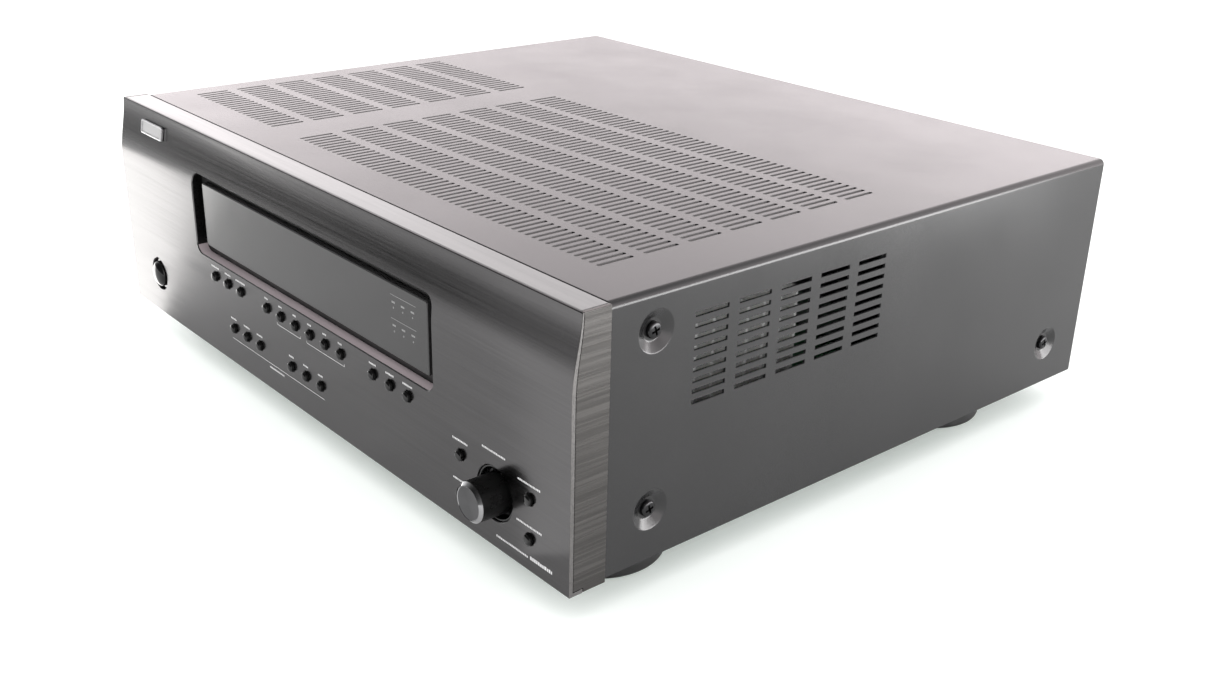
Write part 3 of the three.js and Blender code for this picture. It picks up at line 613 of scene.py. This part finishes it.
def skin_back(bottom, top, gap=0):
    """(y, z) points up the back of the skin left at each end. It thins out towards the top."""
    points = []
    for y, z in up_the_face(bottom, top, gap):
        fade = min(1, max(0, (z - STRIP_FADE) / (PANEL_HEIGHT - STRIP_FADE)))
        points.append((y + STRIP_THICKNESS * (1 - 0.7 * fade), z))
    return points


def end_cut_section():
    """What is milled away at each end, leaving the front skin and the lip."""
    return (
        [(LIP_DEPTH, -1), (LIP_DEPTH, LIP_THICKNESS)]
        + skin_back(LIP_THICKNESS, PANEL_HEIGHT + 1)
        + [(PANEL_DEPTH + 1, PANEL_HEIGHT + 1), (PANEL_DEPTH + 1, -1)]
    )


def opening(outline, rear, chamfer=0.3):
    """A cutter through the face, with its edge broken by a chamfer that follows the face."""
    outline = anticlockwise(split_long(outline, 6))
    rings = [[(x, -3, z) for x, z in inset(outline, -chamfer - 1)]]
    for grown, behind in ((chamfer + 1, -1), (0, chamfer)):
        rings.append([(x, setback(z) + behind, z) for x, z in inset(outline, -grown)])
    rings.append([(x, rear, z) for x, z in outline])
    return loft(rings)


def front_panel():
    inner_end = CAP_INNER - GAP
    outer_end = HALF_PANEL + 1
    mesh = prism(panel_section(), "x", -HALF_PANEL, HALF_PANEL, (0.25, 0.25))
    rear = WALL + 1
    window = round_rectangle(
        -WINDOW_HALF, WINDOW_HALF, WINDOW_BOTTOM, WINDOW_TOP, WINDOW_CORNER, 10)
    cutters = [
        prism(end_cut_section(), "x", inner_end, outer_end),
        prism(end_cut_section(), "x", -outer_end, -inner_end),
        opening(window, rear, EDGE),
    ]
    for node, radius, steps in (
        [(n, SMALL_HOLE, 32) for n in SMALL_BUTTONS]
        + [("select_knob", KNOB_HOLE, 96), ("power_button", POWER_HOLE, 72)]
    ):
        place = middle(node)
        cutters.append(opening(circle(place.x, place.z, radius, steps), rear, 0.25))
    mesh = cut(mesh, cutters)

    def is_milled(place, normal):
        """The walls of the openings, and the inside of the extrusion."""
        inside = 0.3 < place.y - setback(place.z) and abs(place.x) < inner_end - 1
        return inside and place.z > 1 and normal.y > -0.9 and normal.z < 0.95

    # The window's walls, which take the near-black painted shade.
    def is_window_wall(place, normal):
        window_x = abs(place.x) < WINDOW_HALF + 0.1
        return window_x and WINDOW_BOTTOM - 0.1 < place.z < WINDOW_TOP + 0.1 and normal.y > -0.5

    # The upward-facing ledge of the window, which takes the painted sheen.
    def is_sheen_ledge(place, normal):
        return is_window_wall(place, normal) and normal.z > 0.3

    def is_sawn(place, normal):
        return abs(normal.x) > 0.7 and abs(place.x) > inner_end + 0.5

    materials = [(PANEL, None), (MILLED, is_milled), (SHADED, is_window_wall), (LEDGE_SHEEN_PAINT, is_sheen_ledge),
                 (CUT_EDGE, is_sawn)]
    piece("front_face", mesh, materials, ["front_panel"])


def deck_strip():
    edge = 0.3
    section = (
        [(PANEL_DEPTH, TRIM_BOTTOM)]
        + arc(PANEL_DEPTH - edge, PANEL_HEIGHT - edge, edge, 0, 90, 3)
        + arc(TRIM_FRONT + edge, PANEL_HEIGHT - edge, edge, 90, 180, 3)
        + [(TRIM_FRONT, TRIM_BOTTOM)]
    )
    half = CAP_INNER - GAP
    mesh = prism(section, "x", -half, half, (0.15, 0.15))
    piece("deck_strip", mesh, [(DECK, None)], ["top_trim"])


def end_plates():
    floor = LIP_THICKNESS + GAP
    outline = (
        [(LIP_DEPTH + GAP, GAP), (LIP_DEPTH + GAP, floor)]
        + skin_back(floor, PANEL_HEIGHT, GAP)
        + [(PANEL_DEPTH, PANEL_HEIGHT), (PANEL_DEPTH, GAP)]
    )
    for side, name in ((-1, "left"), (1, "right")):
        ends = sorted((side * CAP_INNER, side * HALF_PANEL))
        mesh = prism(outline, "x", *ends, (0.2, 0.2))
        piece(f"end_plate_{name}", mesh, [(CAP, None)], [f"end_cap_{name}"])


def badge():
    """A blank plate with a recessed, darker field."""
    width, height, thickness, seat_height = 28.0, 8.0, 1.4, 115
    low, high = span("badge_plate")
    centre_z = (low.z + high.z) / 2
    lean = math.atan(setback(centre_z + 1) - setback(centre_z))
    outline = round_rectangle(-width / 2, width / 2, -height / 2, height / 2, 1.2, 8)
    field = round_rectangle(-width / 2 + 1, width / 2 - 1, -height / 2 + 1, height / 2 - 1, 0.7, 6)
    mesh = prism(outline, "y", -thickness - GAP, -GAP, (0.3, 0.05))
    mesh = cut(mesh, [prism(field, "y", -thickness - GAP - 1, -thickness - GAP + 0.25)])
    seat = Matrix.Translation(((low.x + high.x) / 2, setback(seat_height), seat_height))
    place = TO_ROW @ seat @ Matrix.Rotation(-lean, 4, "X")
    floor = -thickness - GAP + 0.2

    def in_field(at, normal):
        return at.y > floor and normal.y < -0.9 and abs(at.x) < width / 2 - 1

    piece("blank_badge", mesh, [(BADGE, None), (BADGE_FIELD, in_field)],
          ["badge_plate"], place=place, sharp=40)


# --- Display ---
def display():
    low, high = span("display_window")
    flange = 4.0
    flange_front = high.y - 1.8
    x, z0, z1 = high.x - flange, low.z + flange, high.z - flange
    lens = prism(round_rectangle(-x, x, z0, z1, 1.2, 6), "y", low.y, flange_front + 0.5, (0.7, 0), 6)
    plate = prism([(-high.x, low.z), (high.x, low.z), (high.x, high.z), (-high.x, high.z)],
                  "y", flange_front, high.y)
    piece("display_lens", join(lens, plate), [(ACRYLIC, None)], ["display_window"])

    low, high = span("window_frame")
    outer = prism([(low.x, low.z), (high.x, low.z), (high.x, high.z), (low.x, high.z)],
                  "y", low.y, high.y, (0.2, 0.2))
    hole = round_rectangle(-x - GAP, x + GAP, z0 - GAP, z1 + GAP, 1.4, 6)
    lip = inset(anticlockwise(hole), -0.5)
    groove = prism(lip, "y", low.y - 1, low.y + 0.5)
    mesh = cut(outer, [prism(hole, "y", low.y - 1, high.y + 1)])
    mesh = cut(mesh, [groove])
    piece("lens_frame", mesh, [(SATIN_BLACK, None)], ["window_frame"])


# --- Controls ---
def small_buttons():
    """Domed round buttons, each with the collar and stem behind the panel."""
    for node in SMALL_BUTTONS:
        low, high = span(node)
        at = (middle(node).x, 0, middle(node).z)
        radius, collar, stem = 2.6, 3.8, 1.6
        collar_front, collar_rear = 6.4, 7.6
        dome = []
        for i in range(9):
            turn = math.pi / 2 * i / 8
            dome.append((radius * math.sin(turn) ** 0.9, low.y + 1.1 * (1 - math.cos(turn))))
        profile = dome + [
            (radius, collar_front), (collar, collar_front), (collar, collar_rear),
            (stem, collar_rear), (stem, high.y), (0, high.y)]
        mesh = turned(profile, at=at, segments=36)
        piece(f"cap_{node}", mesh, [(GLOSS_BLACK, None)], [node], body=node, sharp=50)


def power_button():
    low, high = span("power_button")
    at = (middle("power_button").x, 0, middle("power_button").z)
    radius, dome_radius, collar, stem = 9.0, 7.7, 11, 3
    step, collar_front, collar_rear = 1.6, 7, 8.4
    dome = []
    for i in range(15):
        turn = math.pi / 2 * i / 14
        dome.append((dome_radius * math.sin(turn), low.y * math.cos(turn)))
    profile = dome + [
        (dome_radius, step), (radius, step), (radius, collar_front), (collar, collar_front),
        (collar, collar_rear), (stem, collar_rear), (stem, high.y), (0, high.y)]
    mesh = turned(profile, at=at, segments=72)
    piece("power_cap", mesh, [(GLOSS_BLACK, None)], ["power_button"],
          body="power_button", sharp=50)


def selector():
    """The knob, its cup and its shaft."""
    low, high = span("select_knob")
    at = (middle("select_knob").x, 0, middle("select_knob").z)
    radius, face, bore, bore_end = 9.5, 8.0, 3.3, -9.3
    front, rear = low.y, high.y
    recess = 0.12
    profile = [
        (0, front + recess), (face - 0.35, front + recess), (face - 0.15, front),
        (face, front), (radius - 0.1, front + 1.42), (radius, front + 1.6),
        (radius, rear - 0.3), (radius - 0.3, rear), (bore, rear), (bore, bore_end), (0, bore_end)]
    mesh = turned(profile, at=at, segments=128)

    def on_face(place, normal):
        distance = math.hypot(place.x - at[0], place.z - at[2])
        return normal.y < -0.99 and distance < face - 0.3 and place.y < front + 0.2

    def on_chamfer(place, normal):
        return -0.99 < normal.y < -0.3 and place.y < front + 1.5

    piece("knob_cap", mesh, [(KNOB_BLACK, None), (KNOB_FACE, on_face), (POLISHED, on_chamfer)],
          ["select_knob"], body="select_knob", sharp=28)

    low, high = span("knob_cup")
    rim, inner, flange, bore = 12.9, 12.0, 16.2, 4.0
    step = 6.3
    floor = high.y - 1.5
    profile = (
        arc(rim - 0.3, low.y + 0.3, 0.3, 0, -90, 4)
        + arc(inner + 0.3, low.y + 0.3, 0.3, -90, -180, 4)
        + [(inner, floor - 0.6), (inner - 0.6, floor), (bore, floor), (bore, high.y),
           (flange, high.y), (flange, step), (rim, step)]
    )
    mesh = turned(profile + profile[:1], at=at, segments=96)
    piece("knob_well", mesh, [(GLOSS_BLACK, None)], ["knob_cup"], sharp=40)

    low, high = span("knob_shaft")
    profile = [(0, low.y), (2.6, low.y), (3, low.y + 0.4), (3, high.y - 0.4), (2.6, high.y), (0, high.y)]
    mesh = turned(profile, at=at, segments=32)
    piece("shaft_rod", mesh, [(STEEL, None)], ["knob_shaft"], body="knob_shaft")


PRINT_FRONT, PRINT_REAR, RULE = -0.03, 0.1, 0.25


def print_row(x, z, width, height=1.0, seed=0):
    """A word's worth of tiny upright marks, as plain blocks: it spells nothing."""
    draw = random.Random(seed)
    marks = []
    bottom, gap = z - height / 2, 0.36
    place = x - width / 2
    while place < x + width / 2 - 0.4:
        mark = min(draw.uniform(0.5, 0.85) * height, x + width / 2 - place)
        tall = height * draw.choice((0.85, 1.0, 1.0))
        marks.append(block(place, place + mark, PRINT_FRONT, PRINT_REAR, bottom, bottom + tall))
        place += mark + gap
    return marks


def rule(x0, x1, z):
    return block(x0, x1, PRINT_FRONT, PRINT_REAR, z - RULE / 2, z + RULE / 2)


def front_print():
    marks = []
    upper_z, lower_z, bracket_z, long_rule_z = 53.2, 28.0, 42.1, 15.6
    upper, lower = (
        sorted((n for n in SMALL_BUTTONS if n.startswith(row)), key=lambda n: middle(n).x)
        for row in ("upper", "lower"))
    widths = [9, 7, 11, 4, 4, 3.5, 4, 3.5, 4, 6, 7, 8]
    for index, (node, width) in enumerate(zip(upper, widths)):
        marks += print_row(middle(node).x, upper_z, width, seed=index)
    for index, node in enumerate(lower):
        marks += print_row(middle(node).x, lower_z, 7 if index < 3 else 5, seed=20 + index)
    for x0, x1 in ((-27.5, -2.5), (3.75, 41.25)):
        marks.append(rule(x0, x1, bracket_z))
        for x in (x0, x1 - RULE):
            marks.append(block(x, x + RULE, PRINT_FRONT, PRINT_REAR, bracket_z, bracket_z + 1.3))
    marks.append(rule(-83.75, 18.75, long_rule_z))
    marks += print_row(-32.0, 13.3, 16, seed=40)
    knob = middle("select_knob")
    for index, (dx, z, width) in enumerate(
            ((0, 46.6, 17), (-25, 41.8, 12), (25, 41.8, 16), (-25, 21.8, 12), (25, 21.8, 18))):
        marks += print_row(knob.x + dx, z, width, seed=50 + index)
    marks += print_row(knob.x + 13, 6.6, 23, 1.1, seed=60)
    marks += print_row(knob.x + 33, 6.9, 15, 1.7, seed=61)
    piece("front_print", together(marks), [(PRINT, None)])


def lens_marks():
    """A faint generic scale at the right of the display, seen on the lens."""
    front = span("display_window")[0].y - 0.02
    rear = front + 0.1
    marks = []
    for z in (92.5, 80.8):
        marks.append(block(82, 103, front, rear, z - 0.12, z + 0.12))
    for x in (84.4, 92.2, 100.3):
        for z in (89.0, 77.6):
            marks.append(block(x - 1.4, x + 1.4, front, rear, z - 0.45, z + 0.45))
        for z in (86.4, 74.6):
            marks.append(prism(circle(x, z, 0.45, 12), "y", front, rear))
    piece("lens_scale", together(marks), [(INNER_MARK, None)])


# --- Cover ---
def cover_section():
    """Outline of the folded sheet: up one side, across the top and down the other, and back."""
    inner = BEND - SHEET
    bend_x, bend_z = HALF_COVER - BEND, COVER_TOP - BEND
    inside = HALF_COVER - SHEET
    return (
        [(-HALF_COVER, COVER_BOTTOM), (-inside, COVER_BOTTOM)]
        + arc(-bend_x, bend_z, inner, 180, 90, 8)
        + arc(bend_x, bend_z, inner, 90, 0, 8)
        + [(inside, COVER_BOTTOM), (HALF_COVER, COVER_BOTTOM)]
        + arc(bend_x, bend_z, BEND, 0, 90, 10)
        + arc(-bend_x, bend_z, BEND, 90, 180, 10)
    )


def top_slots():
    """Long-holes through the top, in rows, in a wide field and a narrow one."""
    slots = []
    radius = SLOT_WIDTH / 2
    for row in range(SLOT_ROWS):
        y = SLOT_FIRST_Y + row * SLOT_ROW_PITCH
        y0, y1 = y - SLOT_LENGTH / 2, y + SLOT_LENGTH / 2
        for first, last, count in (RIGHT_FIELD, LEFT_FIELD):
            for i in range(count):
                x = first + (last - first) * i / (count - 1)
                outline = round_rectangle(x - radius, x + radius, y0, y1, radius * 0.98, 4)
                slots.append(prism(outline, "z", COVER_TOP - SHEET - 2, COVER_TOP + 1))
    return slots


def field_backing(first, last):
    """The thicker strip of metal that the top slots of one field are cut through."""
    reach, margin, extra = SLOT_LENGTH / 2 + 2, 2.6, 0.8
    y0 = SLOT_FIRST_Y - reach
    y1 = SLOT_FIRST_Y + (SLOT_ROWS - 1) * SLOT_ROW_PITCH + reach
    bottom = COVER_TOP - SHEET - extra
    return block(first - margin, last + margin, y0, y1, bottom, COVER_TOP - SHEET / 2)


def side_slots():
    slots = []
    for side in (-1, 1):
        x0, x1 = sorted((side * (HALF_COVER - SHEET - 1), side * (HALF_COVER + 1)))
        for column in range(SIDE_COLUMNS):
            y = SIDE_FIRST_Y + column * SIDE_COLUMN_PITCH
            for row in range(SIDE_ROWS):
                z = SIDE_FIRST_Z + row * SIDE_ROW_PITCH
                slots.append(block(
                    x0, x1, y - SIDE_SLOT_LENGTH / 2, y + SIDE_SLOT_LENGTH / 2,
                    z - SIDE_SLOT_HEIGHT / 2, z + SIDE_SLOT_HEIGHT / 2))
    return slots


def dimple(node, grow, depth_from, depth_to):
    """A cone whose rim rolls in softly, pointing into the cabinet from the cover's side."""
    place = middle(node)
    side = 1 if place.x > 0 else -1
    rim, floor = DIMPLE_RADIUS + grow, DIMPLE_FLOOR + grow
    slope = (rim - floor) / DIMPLE_DEPTH
    profile = [(0, depth_from), (rim + 0.45, depth_from)]
    if grow == 0:
        profile += [(rim + 0.45, 0), (rim + 0.1, 0.08), (rim - 0.3, 0.27)]
    profile += [(floor + 0.45 + 0.05 * slope, depth_to - 0.4), (floor + 0.1, depth_to - 0.1)]
    profile += [(floor - 0.4, depth_to), (0, depth_to)]
    profile = [(radius, side * (HALF_COVER - depth)) for radius, depth in profile]
    return turned(profile, "x", (0, place.y, place.z), 64)


def cover():
    mesh = prism(cover_section(), "y", COVER_FRONT, COVER_REAR, (0.3, 0.45))
    fold_half, fold_bottom = 205, 114
    fold = block(
        -fold_half, fold_half, COVER_REAR - SHEET, COVER_REAR, fold_bottom, COVER_TOP - SHEET / 2)
    backings = [field_backing(first, last) for first, last, _ in (LEFT_FIELD, RIGHT_FIELD)]
    mesh = join(mesh, fold, *backings)
    for node in SIDE_SCREWS:
        mesh = join(mesh, dimple(node, 0.9, SHEET / 2, DIMPLE_DEPTH + SHEET))
    holes = []
    for node in SIDE_SCREWS:
        place = middle(node)
        side = 1 if place.x > 0 else -1
        depths = (DIMPLE_DEPTH - 1, DIMPLE_DEPTH + SHEET + 1)
        ends = sorted(side * (HALF_COVER - depth) for depth in depths)
        holes.append(prism(circle(place.y, place.z, SCREW_HOLE, 24), "x", *ends))
    mesh = cut(mesh, top_slots() + side_slots())
    mesh = cut(mesh, [dimple(node, 0, -0.5, DIMPLE_DEPTH) for node in SIDE_SCREWS])
    mesh = cut(mesh, holes)
    slots_half, slots_front, slots_rear = 200, 30, 230

    def is_lit_slot_wall(place, normal):
        """The walls of the top slots, painted light where light falls on them, but for those that face
        the front, which keep the dark paint.
        """
        upright = abs(normal.z) < 0.3 and normal.y > -0.3
        among = abs(place.x) < slots_half and slots_front < place.y < slots_rear
        return upright and among and place.z > COVER_TOP - SHEET - 1

    piece("cover_shell", mesh, [(COVER_PAINT, None), (SLOT_WALL_PAINTED_LIGHT, is_lit_slot_wall)],
          ["top_cover"], sharp=28)


def side_screws():
    """Pan heads with a cross recess."""
    for node in SIDE_SCREWS:
        low, high = span(node)
        side = 1 if low.x > 0 else -1
        outer, inner = (high.x, low.x) if side > 0 else (low.x, high.x)
        seat = outer - side * 2.1
        at = (0, middle(node).y, middle(node).z)
        head = [(0, outer), (1.6, outer - side * 0.05)]
        head += [(3.8 - 1.3 + 1.3 * math.sin(t), outer - side * (1.3 - 1.3 * math.cos(t) + 0.12))
                 for t in (0.35, 0.7, 1.05, 1.4, 1.57)]
        head += [(3.8, seat), (1.9, seat), (1.9, inner + side * 0.6), (1.3, inner), (0, inner)]
        mesh = turned(head, "x", at, 48)
        bars = []
        for angle in (0.3, 0.3 + math.pi / 2):
            u, v = math.cos(angle), math.sin(angle)
            long, half = 2.15, 0.5
            outline = [
                (at[1] + su * long * u - sv * half * v, at[2] + su * long * v + sv * half * u)
                for su, sv in ((-1, -1), (1, -1), (1, 1), (-1, 1))]
            ends = sorted((outer + side * 1, outer - side * 1.2))
            bars.append(prism(outline, "x", *ends))
        mesh = cut(mesh, [join(*bars)])
        piece(f"pan_{node}", mesh, [(BLACK_SCREW, None)], [node], sharp=38)


def feet():
    for node in FEET:
        low, high = span(node)
        at = (middle(node).x, middle(node).y, 0)
        radius = (high.x - low.x) / 2
        profile = (
            [(0, low.z + 1), (20.6, low.z + 1), (21, low.z + 0.6)]
            + arc(21.6, low.z + 0.6, 0.6, 180, 270, 3)
            + arc(radius - 2.2, low.z + 2.2, 2.2, -90, 0, 6)
            + [(radius, high.z - 0.6), (radius - 0.6, high.z), (0, high.z)]
        )
        mesh = turned(profile, "z", at, 96)
        floor = low.z + 0.9

        def is_pad(place, normal, floor=floor):
            return place.z < floor and normal.z < -0.9

        piece(f"round_{node}", mesh, [(FOOT_PLASTIC, None), (FOOT_PAD, is_pad)],
              [node], sharp=30)


# --- Rear sockets ---
def socket_rings():
    """White rings round the upper row of sockets and red ones round the lower, with gilt rims."""
    rear = span("output_jacks")[1].y
    pitch = 16.0
    centre = middle("output_jacks")
    for row, material, colour in ((0.5, WHITE_RING, "white"), (-0.5, RED_RING, "red")):
        rings, rims = [], []
        z = centre.z + row * pitch
        for column in range(4):
            x = centre.x + (column - 1.5) * pitch
            ring = [(2.6, rear - 0.2), (4.1, rear - 0.2), (4.1, rear + 0.25), (3.9, rear + 0.45),
                    (2.6, rear + 0.45), (2.6, rear - 0.2)]
            rings.append(turned(ring, at=(x, 0, z), segments=40))
            rim = [(1.75, rear - 0.2), (2.55, rear - 0.2), (2.55, rear + 0.8), (1.75, rear + 0.8),
                   (1.75, rear - 0.2)]
            rims.append(turned(rim, at=(x, 0, z), segments=32))
        piece(f"{colour}_socket_rings", together(rings), [(material, None)])
        piece(f"{colour}_row_rims", together(rims), [(GOLD, None)])


# --- CAD nodes that stay as they are ---
def paint_nodes():
    finishes = {
        "rotary_encoder": STEEL,
        "front_board": BOARD,
        "power_switch": BOARD,
        "display_tube": TUBE_GLASS,
        "front_bracket": STEEL,
        "bottom_chassis": STEEL,
        "rear_panel": REAR_PAINT,
        "mains_inlet": SATIN_BLACK,
        "output_jacks": SATIN_BLACK,
        "network_socket": STEEL,
        "antenna_terminals": NICKEL,
        "power_transformer": CORE_STEEL,
        "power_supply_board": BOARD,
        "heatsink": FIN_PAINTED_HIGHLIGHT,
        "main_board": BOARD,
        "tuner_module": STEEL,
    }
    for name, material in finishes.items():
        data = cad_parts[name].data
        data.materials.clear()
        data.materials.append(material)


# --- Studio ---
AZIMUTH, ELEVATION, ROLL = 48.98, 23.50, 1.49
CAMERA_PLACE = TO_ROW @ Vector((579.85, -297.56, 316.40))
LENS, SENSOR = 39.93, 36.0


def camera():
    azimuth, elevation, roll = (math.radians(a) for a in (AZIMUTH, ELEVATION, ROLL))
    back = Vector((math.sin(azimuth) * math.cos(elevation),
                   -math.cos(azimuth) * math.cos(elevation), math.sin(elevation)))
    right = Vector((math.cos(azimuth), math.sin(azimuth), 0))
    up = back.cross(right)
    turned_right = right * math.cos(roll) + up * math.sin(roll)
    turned_up = up * math.cos(roll) - right * math.sin(roll)
    data = bpy.data.cameras.new("camera")
    data.lens = LENS
    data.sensor_width = SENSOR
    data.sensor_fit = "HORIZONTAL"
    obj = bpy.data.objects.new("camera", data)
    axes = Matrix((turned_right, turned_up, back)).transposed().to_4x4()
    obj.matrix_world = Matrix.Translation(CAMERA_PLACE) @ axes
    bpy.context.scene.collection.objects.link(obj)
    bpy.context.scene.camera = obj


def floor():
    """A pale sheet. It shows to the camera a little brighter than it is in reflections."""
    side, front, rear, lift = 1.6, -0.64, 1.6, 0.26
    bm = bmesh.new()
    corners = ((-side, front), (side, front), (side, rear), (-side, rear))
    bm.faces.new([bm.verts.new((x, y, cad_low.z)) for x, y in corners])
    obj = bpy.data.objects.new("floor", mesh_of(bm))
    bpy.context.scene.collection.objects.link(obj)
    shader = Shader("pale floor", (0.84, 0.84, 0.84), 0.9)
    grain = shader.noise((300, 300, 300), detail=2)
    ripple = shader.noise((14, 9, 14), detail=3)
    shader.tint(shader.spread(grain, 0.995, 1.005), shader.spread(ripple, 0.96, 1.03))
    path = shader.nodes.new("ShaderNodeLightPath")
    glow = shader.nodes.new("ShaderNodeMath")
    glow.operation = "MULTIPLY"
    glow.inputs[1].default_value = lift
    shader.links.new(path.outputs["Is Camera Ray"], glow.inputs[0])
    shader.principled.inputs["Emission Color"].default_value = (0.86, 1, 0.9, 1)
    shader.links.new(glow.outputs[0], shader.principled.inputs["Emission Strength"])
    obj.data.materials.append(shader.material)


def card(name, corner, along, across, radiance, colour=(1, 1, 1)):
    """A plain glowing card that only glossy surfaces see. It shines away from along x across."""
    corner, along, across = Vector(corner), Vector(along), Vector(across)
    light = bpy.data.lights.new(name, "AREA")
    light.shape = "RECTANGLE"
    light.size = along.length
    light.size_y = across.length
    light.energy = radiance * math.pi * along.length * across.length
    light.color = colour
    obj = bpy.data.objects.new(name, light)
    x, y = along.normalized(), across.normalized()
    axes = Matrix((x, y, x.cross(y))).transposed().to_4x4()
    obj.matrix_world = Matrix.Translation(corner + (along + across) / 2) @ axes
    obj.visible_camera = False
    obj.visible_diffuse = False
    bpy.context.scene.collection.objects.link(obj)


def surroundings():
    """The room: white to the camera, nearly even to matt surfaces, shaped where gloss mirrors it."""
    world = bpy.data.worlds.new("studio")
    bpy.context.scene.world = world
    world.use_nodes = True
    world.cycles.sampling_method = "NONE"
    nodes, links = world.node_tree.nodes, world.node_tree.links
    nodes.clear()
    output = nodes.new("ShaderNodeOutputWorld")
    direction = nodes.new("ShaderNodeTexCoord").outputs["Generated"]
    split = nodes.new("ShaderNodeSeparateXYZ")
    links.new(direction, split.inputs[0])
    path = nodes.new("ShaderNodeLightPath")

    def facing(vector):
        node = nodes.new("ShaderNodeVectorMath")
        node.operation = "DOT_PRODUCT"
        links.new(direction, node.inputs[0])
        node.inputs[1].default_value = Vector(vector).normalized()
        return node.outputs["Value"]

    def ramp(value, stops):
        node = nodes.new("ShaderNodeValToRGB")
        links.new(value, node.inputs["Fac"])
        points = node.color_ramp.elements
        while len(points) < len(stops):
            points.new(0.5)
        for point, (position, colour) in zip(points, stops):
            point.position = position
            point.color = (*colour, 1)
        return node.outputs["Color"]

    def spread(value):
        """A cosine, from -1 to 1, as a number from 0 to 1."""
        node = nodes.new("ShaderNodeMapRange")
        node.inputs["From Min"].default_value = -1
        links.new(value, node.inputs["Value"])
        return node.outputs["Result"]

    def times(first, second):
        node = nodes.new("ShaderNodeVectorMath")
        node.operation = "MULTIPLY"
        links.new(first, node.inputs[0])
        links.new(second, node.inputs[1])
        return node.outputs["Vector"]

    def background(colour, strength):
        node = nodes.new("ShaderNodeBackground")
        if isinstance(colour, tuple):
            node.inputs["Color"].default_value = (*colour, 1)
        else:
            links.new(colour, node.inputs["Color"])
        node.inputs["Strength"].default_value = strength
        return node.outputs["Background"]

    def choose(factor, first, second):
        node = nodes.new("ShaderNodeMixShader")
        links.new(factor, node.inputs[0])
        links.new(first, node.inputs[1])
        links.new(second, node.inputs[2])
        return node.outputs["Shader"]

    def grey(value):
        return (value, value, value)

    def pink(value):
        return (value, 0.925 * value, 0.94 * value)

    height = ramp(split.outputs["Z"], [
        (0.0, grey(1.0)), (0.25, grey(1.0)), (0.37, grey(0.85)), (0.52, grey(0.75)),
        (0.72, grey(0.25)), (1.0, grey(0.12))])
    round_about = ramp(spread(facing((0.22, 0.97, 0))), [
        (0.12, grey(0.02)), (0.22, grey(0.15)), (0.33, grey(0.5)), (0.46, grey(0.5)),
        (0.56, pink(0.96)), (0.62, pink(0.72)), (0.70, pink(0.60)), (0.77, pink(0.62)),
        (0.85, pink(0.83)), (0.93, pink(0.73))])
    sheen = times(height, round_about)
    matt = ramp(facing((-0.6, -0.4, 0.7)), [(0.0, grey(0.80)), (1.0, grey(1.0))])
    scene_light = choose(path.outputs["Is Glossy Ray"], background(matt, 1.85), background(sheen, 3.95))
    seen = choose(path.outputs["Is Camera Ray"], scene_light, background((1, 1, 1), 1.05))
    links.new(seen, output.inputs["Surface"])


def lighting():
    surroundings()
    card("floor card at the left", (-0.145, -0.158, 0.001),
         (-0.58, -0.335, 0), (-0.225, 0.39, 0), 4.0, (1, 0.985, 0.96))
    card("floor card in front", (0.16, -0.205, 0.001), (0.305, -0.395, 0), (-0.889, -0.686, 0), 0.7)
    card("strip at the right", (0.882, 0.05, 0.01), (-0.394, 0.453, 0), (0, 0, 0.214), 11.0)


front_panel()
deck_strip()
end_plates()
badge()
display()
small_buttons()
power_button()
selector()
front_print()
lens_marks()
cover()
side_screws()
feet()
socket_rings()
paint_nodes()
camera()
floor()
lighting()
bpy.context.scene.view_settings.view_transform = "Standard"
